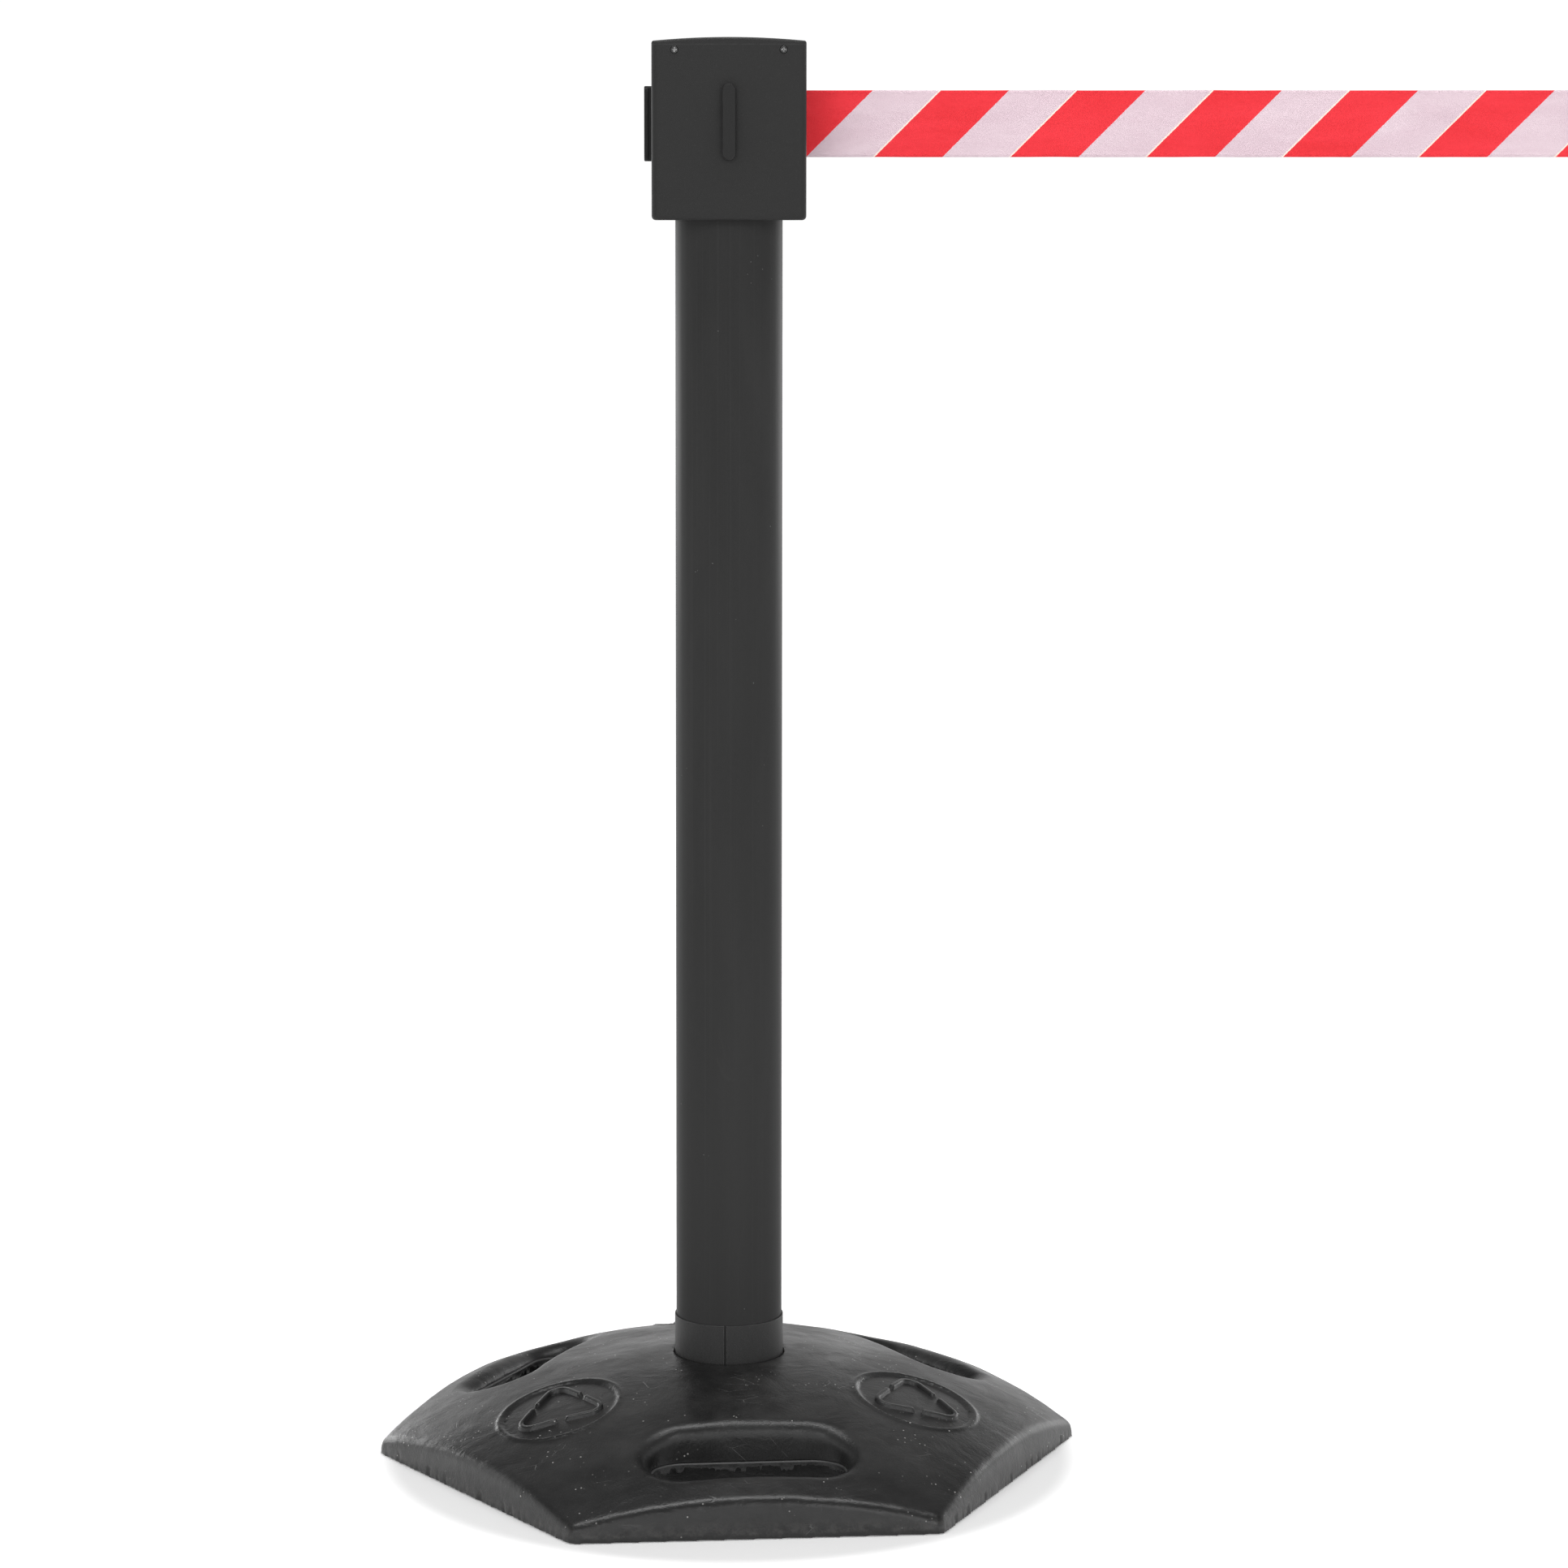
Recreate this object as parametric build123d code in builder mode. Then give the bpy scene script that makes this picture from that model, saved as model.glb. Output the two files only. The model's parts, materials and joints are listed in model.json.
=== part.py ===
from build123d import *
import math
import os

# Retractable belt stanchion, in millimetres.
# Frame: origin on the floor at the post's axis, +Z up, -Y towards the front, +X along the belt.

# ---- Overall ----
TOTAL_HEIGHT = 1016.0

# ---- Base: a domed hexagon of recycled rubber ----
BASE_CORNER_RADIUS = 254.0
BASE_SIDES = 6
BASE_TURN = 5.0
BASE_DRAFT = 4.0
BASE_CORNER_FILLET = 9.0
BASE_RIM_FILLET = 10.0
DOME_RADIUS = 545.0
DOME_APEX = 72.0
HOLD_COUNT = 3
HOLD_RADIUS = 160.0
HOLD_LENGTH = 136.0
HOLD_WIDTH = 48.0
HOLD_ROLL = 12.0
HOLD_UNDERCUT = 5.0
HOLD_LEDGE = 27.0
BADGE_RADIUS = 146.0
BADGE_DIAMETER = 83.0
BADGE_DEPTH = 1.4
BADGE_TURNS = (-150, -30, 90)
TRIANGLE_RADIUS = 43.0
TRIANGLE_BAR = 3.6
TRIANGLE_CORNER = 9.0
TRIANGLE_GAP = 4.0
TRIANGLE_RISE = 0.4
UNDERSIDE_RECESS_RADIUS = 36.0
UNDERSIDE_RECESS_DEPTH = 17.0

# ---- Post and its clamping rod ----
POST_DIAMETER = 76.2
POST_WALL = 3.2
POST_FOOT = 50.0
POST_TOP = 891.0
COLLAR_FOOT = 66.0
COLLAR_TOP = 98.0
COLLAR_WALL = 0.9
COLLAR_GAP = 1.6
COLLAR_SEAM_TURN = -94.0
PLUG_HEIGHT = 40.0
ROD_RADIUS = 5.0
ROD_FOOT = 2.5
ROD_TOP = 912.0
NUT_FLATS = 17.0
NUT_HEIGHT = 8.0
WASHER_THICKNESS = 2.0
PLATE_WASHER_RADIUS = 30.0
SPRING_WASHER_THICKNESS = 2.2
SPRING_WASHER_RADIUS = 8.6
SPRING_WASHER_CUT = 1.2
UPPER_WASHER_RADIUS = 11.0
ROD_CHAMFER = 1.0

# ---- Head ----
HEAD_SIDE = 108.0
HEAD_BOTTOM = 887.5
HEAD_SEAM = 1009.2
HEAD_CORNER = 5.0
HEAD_WALL = 3.0
HEAD_FLOOR = 3.5
HEAD_EDGE_FILLET = 3.0
CAP_EDGE_FILLET = 1.2
CROWN_RADIUS = 560.0
SKIRT_WALL = 4.0
SKIRT_DEPTH = 14.0
CAP_SCREW_SPREAD = 38.0
CAP_SCREW_HEIGHT = 1005.5

# ---- Belt ----
BELT_WIDTH = 47.0
BELT_THICKNESS = 0.7
BELT_CENTRE = 955.5
CLIP_START = 612.0
COIL_PITCH = 0.76
COIL_TURNS = 13

# ---- Belt receivers, T-shaped rails on three faces ----
RAIL_HEIGHT = 53.0
RAIL_WIDTH = 9.2
RAIL_STEM = 5.0
RAIL_STEM_DEPTH = 3.6
RAIL_FLANGE = 2.4
RAIL_SCREW_SPACING = 32.0
RAIL_TURNS = {"front_receiver": -90, "left_receiver": 180, "back_receiver": 90}

# ---- Retractor cassette ----
PLATE_HALF = 48.2
PLATE_THICKNESS = 2.5
CASSETTE_FOOT = 918.0
CASSETTE_TOP = 988.0
PILLAR_REACH = 41.5
PILLAR_RADIUS = 4.0
PILLAR_PILOT = 1.6
PILLAR_PILOT_DEPTH = 12.0
PILLAR_SCREW_HEAD = 3.2
PILLAR_SCREW_HEAD_HEIGHT = 2.2
PILLAR_SCREW_BITE = 9.0
SPOOL_OFFSET = -7.0
FLANGE_RADIUS = 39.5
FLANGE_THICKNESS = 2.0
FLANGE_GAP = 1.5
HUB_RADIUS = 25.0
HUB_WALL = 3.0
BOSS_RADIUS = 9.0
BUSH_RADIUS = 6.0
BUSH_LENGTH = 12.0
BUSH_FLANGE = 1.4
SPINDLE_RADIUS = 4.0
SPINDLE_SLOT = 1.0
RUNNING_FIT = 0.05
SPRING_HEIGHT = 32.0
SPRING_THICKNESS = 0.4
SPRING_PITCH = 1.2
SPRING_TURNS = 13
GUIDE_X = 40.0
GUIDE_RADIUS = 4.0
GUIDE_PIN_RADIUS = 1.5
SOFT_CLEARANCE = 0.3

# ---- Belt-end clip ----
CLIP_LENGTH = 44.0
CLIP_THICKNESS = 18.0
CLIP_HEIGHT = 60.0
CLIP_CORNER = 4.0
CHANNEL_DEPTH = 4.6
CHANNEL_HALF = 5.1
MOUTH_DEPTH = 2.6
MOUTH_HALF = 2.9
CHANNEL_ROOF = 6.0
LOOP_X = 624.0
BELT_PIN_RADIUS = 2.0
LEVER_WIDTH = 11.0
LEVER_THICKNESS = 3.4
LEVER_HEIGHT = 43.0
LEVER_PIVOT_RISE = 27.0
LEVER_PIN_RADIUS = 1.0

# ---- Derived sizes ----
POST_RADIUS = POST_DIAMETER / 2
POST_BORE = POST_RADIUS - POST_WALL
HEAD_HALF = HEAD_SIDE / 2
INNER_HALF = HEAD_HALF - HEAD_WALL
BELT_LOW = BELT_CENTRE - BELT_WIDTH / 2
BELT_HIGH = BELT_CENTRE + BELT_WIDTH / 2
FLANGE_LOW = BELT_LOW - FLANGE_GAP - FLANGE_THICKNESS
FLANGE_HIGH = BELT_HIGH + FLANGE_GAP
HUB_FOOT = FLANGE_LOW + FLANGE_THICKNESS
COIL_START = HUB_RADIUS + SOFT_CLEARANCE
COIL_OUTER = COIL_START + COIL_TURNS * COIL_PITCH + BELT_THICKNESS
GUIDE_Y = GUIDE_RADIUS + SOFT_CLEARANCE + BELT_THICKNESS / 2
CLIP_END = CLIP_START + CLIP_LENGTH
CLIP_FOOT = BELT_CENTRE - CLIP_HEIGHT / 2

UP = (Align.CENTER, Align.CENTER, Align.MIN)
DOWN = (Align.CENTER, Align.CENTER, Align.MAX)


def save(piece, name):
    """Labels a finished piece and writes it as its own file."""
    piece.part.label = name
    export_step(piece.part, f"parts/{name}.step")


def dome_height(radius):
    """Height of the base's dome at a distance from the post's axis."""
    return DOME_APEX - DOME_RADIUS + math.sqrt(DOME_RADIUS**2 - radius**2)


def level(height):
    """A horizontal plane at a height."""
    return Plane.XY.offset(height)


def face_plane(turn, height):
    """Plane on an outer wall of the head: its normal points outwards and its Y points up."""
    outward = Vector(math.cos(math.radians(turn)), math.sin(math.radians(turn)), 0)
    up = Vector(0, 0, 1)
    return Plane(origin=outward * HEAD_HALF + up * height, x_dir=up.cross(outward), z_dir=outward)


def ring(outer, inner, low, high, centre=(0, 0)):
    """A plain upright ring."""
    with BuildPart() as piece:
        with BuildSketch(level(low)):
            with Locations(centre):
                Circle(outer)
                Circle(inner, mode=Mode.SUBTRACT)
        extrude(amount=high - low)
    return piece


def pan_screw(head_radius, head_height, shank_radius, length):
    """Cross-head screw: head above Z = 0 and shank below it."""
    with BuildPart() as screw:
        Cylinder(head_radius, head_height, align=UP)
        fillet(screw.edges().sort_by(Axis.Z)[-1], head_height * 0.45)
        with Locations((0, 0, head_height)):
            Box(head_radius * 1.1, head_radius * 0.24, head_height, mode=Mode.SUBTRACT)
            Box(head_radius * 0.24, head_radius * 1.1, head_height, mode=Mode.SUBTRACT)
        Cylinder(shank_radius, length, align=DOWN)
    return screw.part


def sunk_screw(head_radius, shank_radius, length):
    """Countersunk screw: its flat head face is at Z = 0 and the rest lies below it."""
    cone = head_radius - shank_radius
    with BuildPart() as screw:
        Cone(shank_radius, head_radius, cone, align=DOWN)
        Cylinder(shank_radius, length, align=DOWN)
        Box(head_radius * 1.1, head_radius * 0.24, cone, mode=Mode.SUBTRACT)
        Box(head_radius * 0.24, head_radius * 1.1, cone, mode=Mode.SUBTRACT)
    return screw.part


def spiral(start_radius, pitch, half_turns, thickness, way):
    """Flat outline of a strip wound outwards in half circles; way is 1 or -1 for its sense."""
    with BuildSketch() as strip:
        with BuildLine():
            for edge_radius in (start_radius, start_radius + thickness):
                for k in range(half_turns):
                    shift = pitch / 2 if k % 2 else 0
                    CenterArc((shift, 0), edge_radius + k * pitch / 2, way * 180 * k, way * 180)
            Line((start_radius, 0), (start_radius + thickness, 0))
            last = start_radius + (half_turns - 1) * pitch / 2
            if half_turns % 2:
                Line((-last, 0), (-last - thickness, 0))
            else:
                Line((pitch / 2 + last, 0), (pitch / 2 + last + thickness, 0))
        make_face()
    return strip.sketch


# ================= Base =================


def badge_plane(turn):
    """Plane that touches the dome at a badge's centre."""
    tilt = math.asin(BADGE_RADIUS / DOME_RADIUS)
    turn = math.radians(turn + BASE_TURN)
    outward = Vector(math.cos(turn), math.sin(turn), 0)
    up = Vector(0, 0, 1)
    centre = outward * BADGE_RADIUS + up * dome_height(BADGE_RADIUS)
    return Plane(
        origin=centre,
        x_dir=up.cross(outward),
        z_dir=outward * math.sin(tilt) + up * math.cos(tilt),
    )


badge_planes = [badge_plane(turn) for turn in BADGE_TURNS]
dome_centre = (0, 0, DOME_APEX - DOME_RADIUS)

# A round recess whose floor follows the dome.
with BuildPart() as badge_recess:
    with BuildSketch(*badge_planes):
        Circle(BADGE_DIAMETER / 2)
    extrude(amount=3 * BADGE_DEPTH, both=True)
    with Locations(dome_centre):
        Sphere(DOME_RADIUS - BADGE_DEPTH, mode=Mode.SUBTRACT)

# A plain rounded triangle of three bent bars, raised from the recess floor.
with BuildPart() as badge_bars:
    with BuildSketch(*badge_planes):
        with BuildSketch(mode=Mode.PRIVATE) as bars:
            RegularPolygon(TRIANGLE_RADIUS, 3, rotation=-90)
            fillet(bars.vertices(), TRIANGLE_CORNER)
            offset(amount=-TRIANGLE_BAR, mode=Mode.SUBTRACT)
            with PolarLocations(TRIANGLE_RADIUS / 2, 3, start_angle=90):
                Rectangle(3 * TRIANGLE_BAR, TRIANGLE_GAP, mode=Mode.SUBTRACT)
        add(bars.sketch)
    extrude(amount=3 * BADGE_DEPTH, both=True)
    with Locations(dome_centre):
        Sphere(DOME_RADIUS + TRIANGLE_RISE, mode=Mode.INTERSECT)

with BuildPart() as base_moulding:
    with BuildSketch() as outline:
        RegularPolygon(BASE_CORNER_RADIUS, BASE_SIDES, rotation=BASE_TURN)
        fillet(outline.vertices(), BASE_CORNER_FILLET)
    extrude(amount=DOME_APEX, taper=BASE_DRAFT)
    with Locations(dome_centre):
        Sphere(DOME_RADIUS, mode=Mode.INTERSECT)
    # Three hand holds right through, with softly rolled rims.
    with BuildSketch():
        with PolarLocations(HOLD_RADIUS, HOLD_COUNT, BASE_TURN - 90):
            SlotOverall(HOLD_LENGTH, HOLD_WIDTH, rotation=90)
    extrude(amount=DOME_APEX, mode=Mode.SUBTRACT)
    # Below a ledge each hold opens wider, so that fingers hook under it.
    with BuildSketch():
        with PolarLocations(HOLD_RADIUS, HOLD_COUNT, BASE_TURN - 90):
            SlotOverall(
                HOLD_LENGTH + 2 * HOLD_UNDERCUT, HOLD_WIDTH + 2 * HOLD_UNDERCUT, rotation=90
            )
    extrude(amount=HOLD_LEDGE, mode=Mode.SUBTRACT)
    dome = base_moulding.faces().filter_by(GeomType.SPHERE).sort_by(SortBy.AREA)[-1]
    fillet([edge for wire in dome.inner_wires() for edge in wire.edges()], HOLD_ROLL)
    dome = base_moulding.faces().filter_by(GeomType.SPHERE).sort_by(SortBy.AREA)[-1]
    fillet(dome.outer_wire().edges(), BASE_RIM_FILLET)
    add(badge_recess.part, mode=Mode.SUBTRACT)
    add(badge_bars.part)
    # Socket for the post's foot and its collar.
    with Locations((0, 0, POST_FOOT)):
        Cylinder(POST_RADIUS + SOFT_CLEARANCE, DOME_APEX, align=UP, mode=Mode.SUBTRACT)
    with Locations((0, 0, COLLAR_FOOT)):
        Cylinder(
            POST_RADIUS + COLLAR_WALL + 2 * SOFT_CLEARANCE, DOME_APEX, align=UP, mode=Mode.SUBTRACT
        )
    # Recess under the base for the plate washer and nut, and the rod's hole.
    Cylinder(UNDERSIDE_RECESS_RADIUS, UNDERSIDE_RECESS_DEPTH, align=UP, mode=Mode.SUBTRACT)
    Cylinder(ROD_RADIUS + SOFT_CLEARANCE, DOME_APEX, align=UP, mode=Mode.SUBTRACT)
save(base_moulding, "base_moulding")


# ================= Post =================

save(ring(POST_RADIUS, POST_BORE, POST_FOOT, POST_TOP), "post_tube")

# Split collar round the post's foot.
with BuildPart() as foot_collar:
    with BuildSketch(level(COLLAR_FOOT)):
        Circle(POST_RADIUS + SOFT_CLEARANCE / 2 + COLLAR_WALL)
        Circle(POST_RADIUS + SOFT_CLEARANCE / 2, mode=Mode.SUBTRACT)
        with PolarLocations(POST_RADIUS, 1, start_angle=COLLAR_SEAM_TURN):
            Rectangle(6 * COLLAR_WALL, COLLAR_GAP, mode=Mode.SUBTRACT)
    extrude(amount=COLLAR_TOP - COLLAR_FOOT)
save(foot_collar, "foot_collar")

# Plug that centres the post's foot on the rod: a rim, a hub and six ribs on a floor.
PLUG_RADIUS = POST_BORE - 2 * RUNNING_FIT
PLUG_FLOOR = 6.0
PLUG_RIM = 4.0
PLUG_HUB = 11.0
with BuildPart() as foot_plug:
    with BuildSketch(level(POST_FOOT)):
        Circle(PLUG_RADIUS)
    extrude(amount=PLUG_FLOOR)
    with BuildSketch(level(POST_FOOT + PLUG_FLOOR)):
        Circle(PLUG_RADIUS)
        Circle(PLUG_RADIUS - PLUG_RIM, mode=Mode.SUBTRACT)
        Circle(PLUG_HUB)
        with PolarLocations((PLUG_RADIUS + PLUG_HUB) / 2 - PLUG_RIM / 2, 6):
            Rectangle(PLUG_RADIUS - PLUG_HUB, PLUG_RIM / 2)
    extrude(amount=PLUG_HEIGHT - PLUG_FLOOR)
    with Locations((0, 0, POST_FOOT)):
        Cylinder(ROD_RADIUS + SOFT_CLEARANCE, PLUG_HEIGHT, align=UP, mode=Mode.SUBTRACT)
save(foot_plug, "foot_plug")

with BuildPart() as tie_rod:
    with Locations((0, 0, ROD_FOOT)):
        Cylinder(ROD_RADIUS, ROD_TOP - ROD_FOOT, align=UP)
    chamfer(tie_rod.edges(), ROD_CHAMFER)
save(tie_rod, "tie_rod")

# The rod's lower stack, under the base, and its upper stack, inside the head adapter.
ADAPTER_FLANGE = 5.0
LOWER_SEAT = UNDERSIDE_RECESS_DEPTH
UPPER_SEAT = POST_TOP + ADAPTER_FLANGE
PLATE_WASHER_THICKNESS = 4.0
save(
    ring(
        PLATE_WASHER_RADIUS,
        ROD_RADIUS + SOFT_CLEARANCE,
        LOWER_SEAT - PLATE_WASHER_THICKNESS,
        LOWER_SEAT,
    ),
    "plate_washer",
)
save(
    ring(UPPER_WASHER_RADIUS, ROD_RADIUS + SOFT_CLEARANCE, UPPER_SEAT, UPPER_SEAT + WASHER_THICKNESS),
    "upper_washer",
)

lower_lock = LOWER_SEAT - PLATE_WASHER_THICKNESS - SPRING_WASHER_THICKNESS
upper_lock = UPPER_SEAT + WASHER_THICKNESS
with BuildPart() as lock_washers:
    for foot in (lower_lock, upper_lock):
        with BuildSketch(level(foot)):
            Circle(SPRING_WASHER_RADIUS)
            Circle(ROD_RADIUS + SOFT_CLEARANCE, mode=Mode.SUBTRACT)
            with Locations((SPRING_WASHER_RADIUS - 1.6, 0)):
                Rectangle(ROD_RADIUS + 1, SPRING_WASHER_CUT, rotation=30, mode=Mode.SUBTRACT)
        extrude(amount=SPRING_WASHER_THICKNESS)
save(lock_washers, "lock_washers")

with BuildPart() as rod_nuts:
    for foot in (lower_lock - NUT_HEIGHT, upper_lock + SPRING_WASHER_THICKNESS):
        with BuildSketch(level(foot)):
            RegularPolygon(NUT_FLATS / 2, 6, major_radius=False)
            Circle(ROD_RADIUS + 2 * RUNNING_FIT, mode=Mode.SUBTRACT)
        extrude(amount=NUT_HEIGHT)
save(rod_nuts, "rod_nuts")


# ================= Head adapter =================

ADAPTER_HALF = 47.0
SPIGOT_DEPTH = 35.0
PEDESTAL_RADIUS = 38.0
PEDESTAL_BORE = 31.0
CORNER_SCREW_REACH = 40.0
CORNER_SCREW_RADIUS = 2.0
PEDESTAL_SCREW_RADIUS = 34.5
PEDESTAL_PILOT = 1.6
PEDESTAL_SCREW_LENGTH = 12.0
PEDESTAL_SCREW_HEAD = 3.0
CASING_SCREW_HEAD = 4.0

with BuildPart() as head_adapter:
    with BuildSketch(level(POST_TOP)):
        RectangleRounded(2 * ADAPTER_HALF, 2 * ADAPTER_HALF, HEAD_CORNER)
    extrude(amount=ADAPTER_FLANGE)
    with BuildSketch(level(POST_TOP)):
        Circle(PLUG_RADIUS)
        Circle(PLUG_RADIUS - PLUG_RIM, mode=Mode.SUBTRACT)
    extrude(amount=-SPIGOT_DEPTH)
    with BuildSketch(level(UPPER_SEAT)):
        Circle(PEDESTAL_RADIUS)
        Circle(PEDESTAL_BORE, mode=Mode.SUBTRACT)
    extrude(amount=CASSETTE_FOOT - UPPER_SEAT)
    with BuildSketch(level(POST_TOP)):
        Circle(ROD_RADIUS + SOFT_CLEARANCE)
        with GridLocations(2 * CORNER_SCREW_REACH, 2 * CORNER_SCREW_REACH, 2, 2):
            Circle(CORNER_SCREW_RADIUS)
    extrude(amount=ADAPTER_FLANGE, mode=Mode.SUBTRACT)
    with BuildSketch(level(CASSETTE_FOOT)):
        with PolarLocations(PEDESTAL_SCREW_RADIUS, 4, start_angle=45):
            Circle(PEDESTAL_PILOT)
    extrude(amount=-PEDESTAL_SCREW_LENGTH - 2, mode=Mode.SUBTRACT)
save(head_adapter, "head_adapter")

with BuildPart() as adapter_screws:
    with Locations((0, 0, CASSETTE_FOOT + PLATE_THICKNESS)):
        with PolarLocations(PEDESTAL_SCREW_RADIUS, 4, start_angle=45):
            add(sunk_screw(PEDESTAL_SCREW_HEAD, PEDESTAL_PILOT - RUNNING_FIT, PEDESTAL_SCREW_LENGTH))
save(adapter_screws, "adapter_screws")


# ================= Head casing and cap =================

SLOT_HALF = 7.0
SLOT_REACH = 29.5
RAIL_SCREW_RADIUS = 1.45
CAP_SCREW_RADIUS = 1.2
CAP_SCREW_SINK = 1.0
CAP_SCREW_HEAD = 2.7
CAP_SCREW_HEAD_HEIGHT = 1.6
RAIL_SCREW_HEAD = 2.8
RAIL_SCREW_HEAD_HEIGHT = 2.0
RAIL_SCREW_BITE = 4.5
SCREW_CLEARANCE = 0.15

with BuildPart() as head_casing:
    with BuildSketch(level(HEAD_BOTTOM)):
        RectangleRounded(HEAD_SIDE, HEAD_SIDE, HEAD_CORNER)
    extrude(amount=HEAD_SEAM - HEAD_BOTTOM)
    fillet(head_casing.faces().sort_by(Axis.Z)[0].edges(), HEAD_EDGE_FILLET)
    with BuildSketch(level(HEAD_BOTTOM + HEAD_FLOOR)):
        RectangleRounded(2 * INNER_HALF, 2 * INNER_HALF, HEAD_CORNER - HEAD_WALL + 1)
    extrude(amount=HEAD_SEAM - HEAD_BOTTOM - HEAD_FLOOR, mode=Mode.SUBTRACT)
    # The post's hole in the floor, and four countersunk screw holes round it.
    with BuildSketch(level(HEAD_BOTTOM)):
        Circle(POST_RADIUS + SOFT_CLEARANCE)
    extrude(amount=HEAD_FLOOR, mode=Mode.SUBTRACT)
    floor_plane = Plane(origin=(0, 0, HEAD_BOTTOM), x_dir=(1, 0, 0), z_dir=(0, 0, -1))
    with Locations(floor_plane):
        with GridLocations(2 * CORNER_SCREW_REACH, 2 * CORNER_SCREW_REACH, 2, 2):
            CounterSinkHole(
                CORNER_SCREW_RADIUS + RUNNING_FIT, CASING_SCREW_HEAD + 0.1, depth=HEAD_FLOOR
            )
    # The belt's exit, where the liner sits.
    with BuildSketch(face_plane(0, BELT_CENTRE)):
        Rectangle(2 * SLOT_HALF, 2 * SLOT_REACH)
    extrude(amount=-HEAD_WALL, mode=Mode.SUBTRACT)
    # Screw holes behind each receiver.
    for turn in RAIL_TURNS.values():
        with BuildSketch(face_plane(turn, BELT_CENTRE)):
            with GridLocations(0, RAIL_SCREW_SPACING, 1, 2):
                Circle(RAIL_SCREW_RADIUS + SCREW_CLEARANCE)
        extrude(amount=-HEAD_WALL, mode=Mode.SUBTRACT)
    # Shallow counterbored holes for the cap's screws, front and back.
    for turn in (-90, 90):
        with Locations(face_plane(turn, CAP_SCREW_HEIGHT)):
            with GridLocations(2 * CAP_SCREW_SPREAD, 0, 2, 1):
                CounterBoreHole(
                    CAP_SCREW_RADIUS + SCREW_CLEARANCE,
                    CAP_SCREW_HEAD + 0.3,
                    CAP_SCREW_SINK,
                    depth=HEAD_WALL,
                )
save(head_casing, "head_casing")

with BuildPart() as head_cap:
    with BuildSketch(level(HEAD_SEAM)):
        RectangleRounded(HEAD_SIDE, HEAD_SIDE, HEAD_CORNER)
    extrude(amount=TOTAL_HEIGHT - HEAD_SEAM)
    # Low crown: its top edge arches along each side.
    with Locations((0, 0, TOTAL_HEIGHT - CROWN_RADIUS)):
        Sphere(CROWN_RADIUS, mode=Mode.INTERSECT)
    fillet(head_cap.faces().sort_by(Axis.Z)[-1].edges(), CAP_EDGE_FILLET)
    # Skirt that drops inside the casing and takes the screws.
    skirt = 2 * (INNER_HALF - SOFT_CLEARANCE / 2)
    with BuildSketch(level(HEAD_SEAM)):
        RectangleRounded(skirt, skirt, HEAD_CORNER - HEAD_WALL + 0.8)
        RectangleRounded(skirt - 2 * SKIRT_WALL, skirt - 2 * SKIRT_WALL, 1.0, mode=Mode.SUBTRACT)
    extrude(amount=-SKIRT_DEPTH)
    for turn in (-90, 90):
        with BuildSketch(face_plane(turn, CAP_SCREW_HEIGHT)):
            with GridLocations(2 * CAP_SCREW_SPREAD, 0, 2, 1):
                Circle(CAP_SCREW_RADIUS + RUNNING_FIT)
        extrude(amount=-HEAD_WALL - SKIRT_WALL - 1, mode=Mode.SUBTRACT)
save(head_cap, "head_cap")

with BuildPart() as cap_screws:
    for turn in (-90, 90):
        with Locations(face_plane(turn, CAP_SCREW_HEIGHT).offset(-CAP_SCREW_SINK)):
            with GridLocations(2 * CAP_SCREW_SPREAD, 0, 2, 1):
                add(
                    pan_screw(
                        CAP_SCREW_HEAD,
                        CAP_SCREW_HEAD_HEIGHT,
                        CAP_SCREW_RADIUS,
                        HEAD_WALL + SKIRT_WALL - CAP_SCREW_SINK,
                    )
                )
save(cap_screws, "cap_screws")

with BuildPart() as casing_screws:
    with Locations(floor_plane):
        with GridLocations(2 * CORNER_SCREW_REACH, 2 * CORNER_SCREW_REACH, 2, 2):
            add(
                sunk_screw(
                    CASING_SCREW_HEAD, CORNER_SCREW_RADIUS - RUNNING_FIT, HEAD_FLOOR + ADAPTER_FLANGE
                )
            )
save(casing_screws, "casing_screws")

# Low-friction liner in the belt's exit: a flush frame with a flange behind the wall.
LINER_SLOT_HALF = 1.8
LINER_FLANGE = 2.2
LINER_LAP = 2.0
LINER_LIP_FILLET = 1.2
with BuildPart() as slot_liner:
    with BuildSketch(face_plane(0, BELT_CENTRE)):
        Rectangle(2 * SLOT_HALF - SOFT_CLEARANCE, 2 * SLOT_REACH - SOFT_CLEARANCE)
    extrude(amount=-HEAD_WALL)
    with BuildSketch(face_plane(0, BELT_CENTRE).offset(-HEAD_WALL)):
        Rectangle(2 * (SLOT_HALF + LINER_LAP), 2 * (SLOT_REACH + LINER_LAP))
    extrude(amount=-LINER_FLANGE)
    with BuildSketch(face_plane(0, BELT_CENTRE)):
        RectangleRounded(2 * LINER_SLOT_HALF, BELT_WIDTH + 3, LINER_SLOT_HALF - 0.2)
    extrude(amount=-HEAD_WALL - LINER_FLANGE, mode=Mode.SUBTRACT)
    outer_face = slot_liner.faces().sort_by(Axis.X)[-1]
    fillet(outer_face.inner_wires()[0].edges(), LINER_LIP_FILLET)
save(slot_liner, "slot_liner")


# ================= Belt receivers =================


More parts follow.
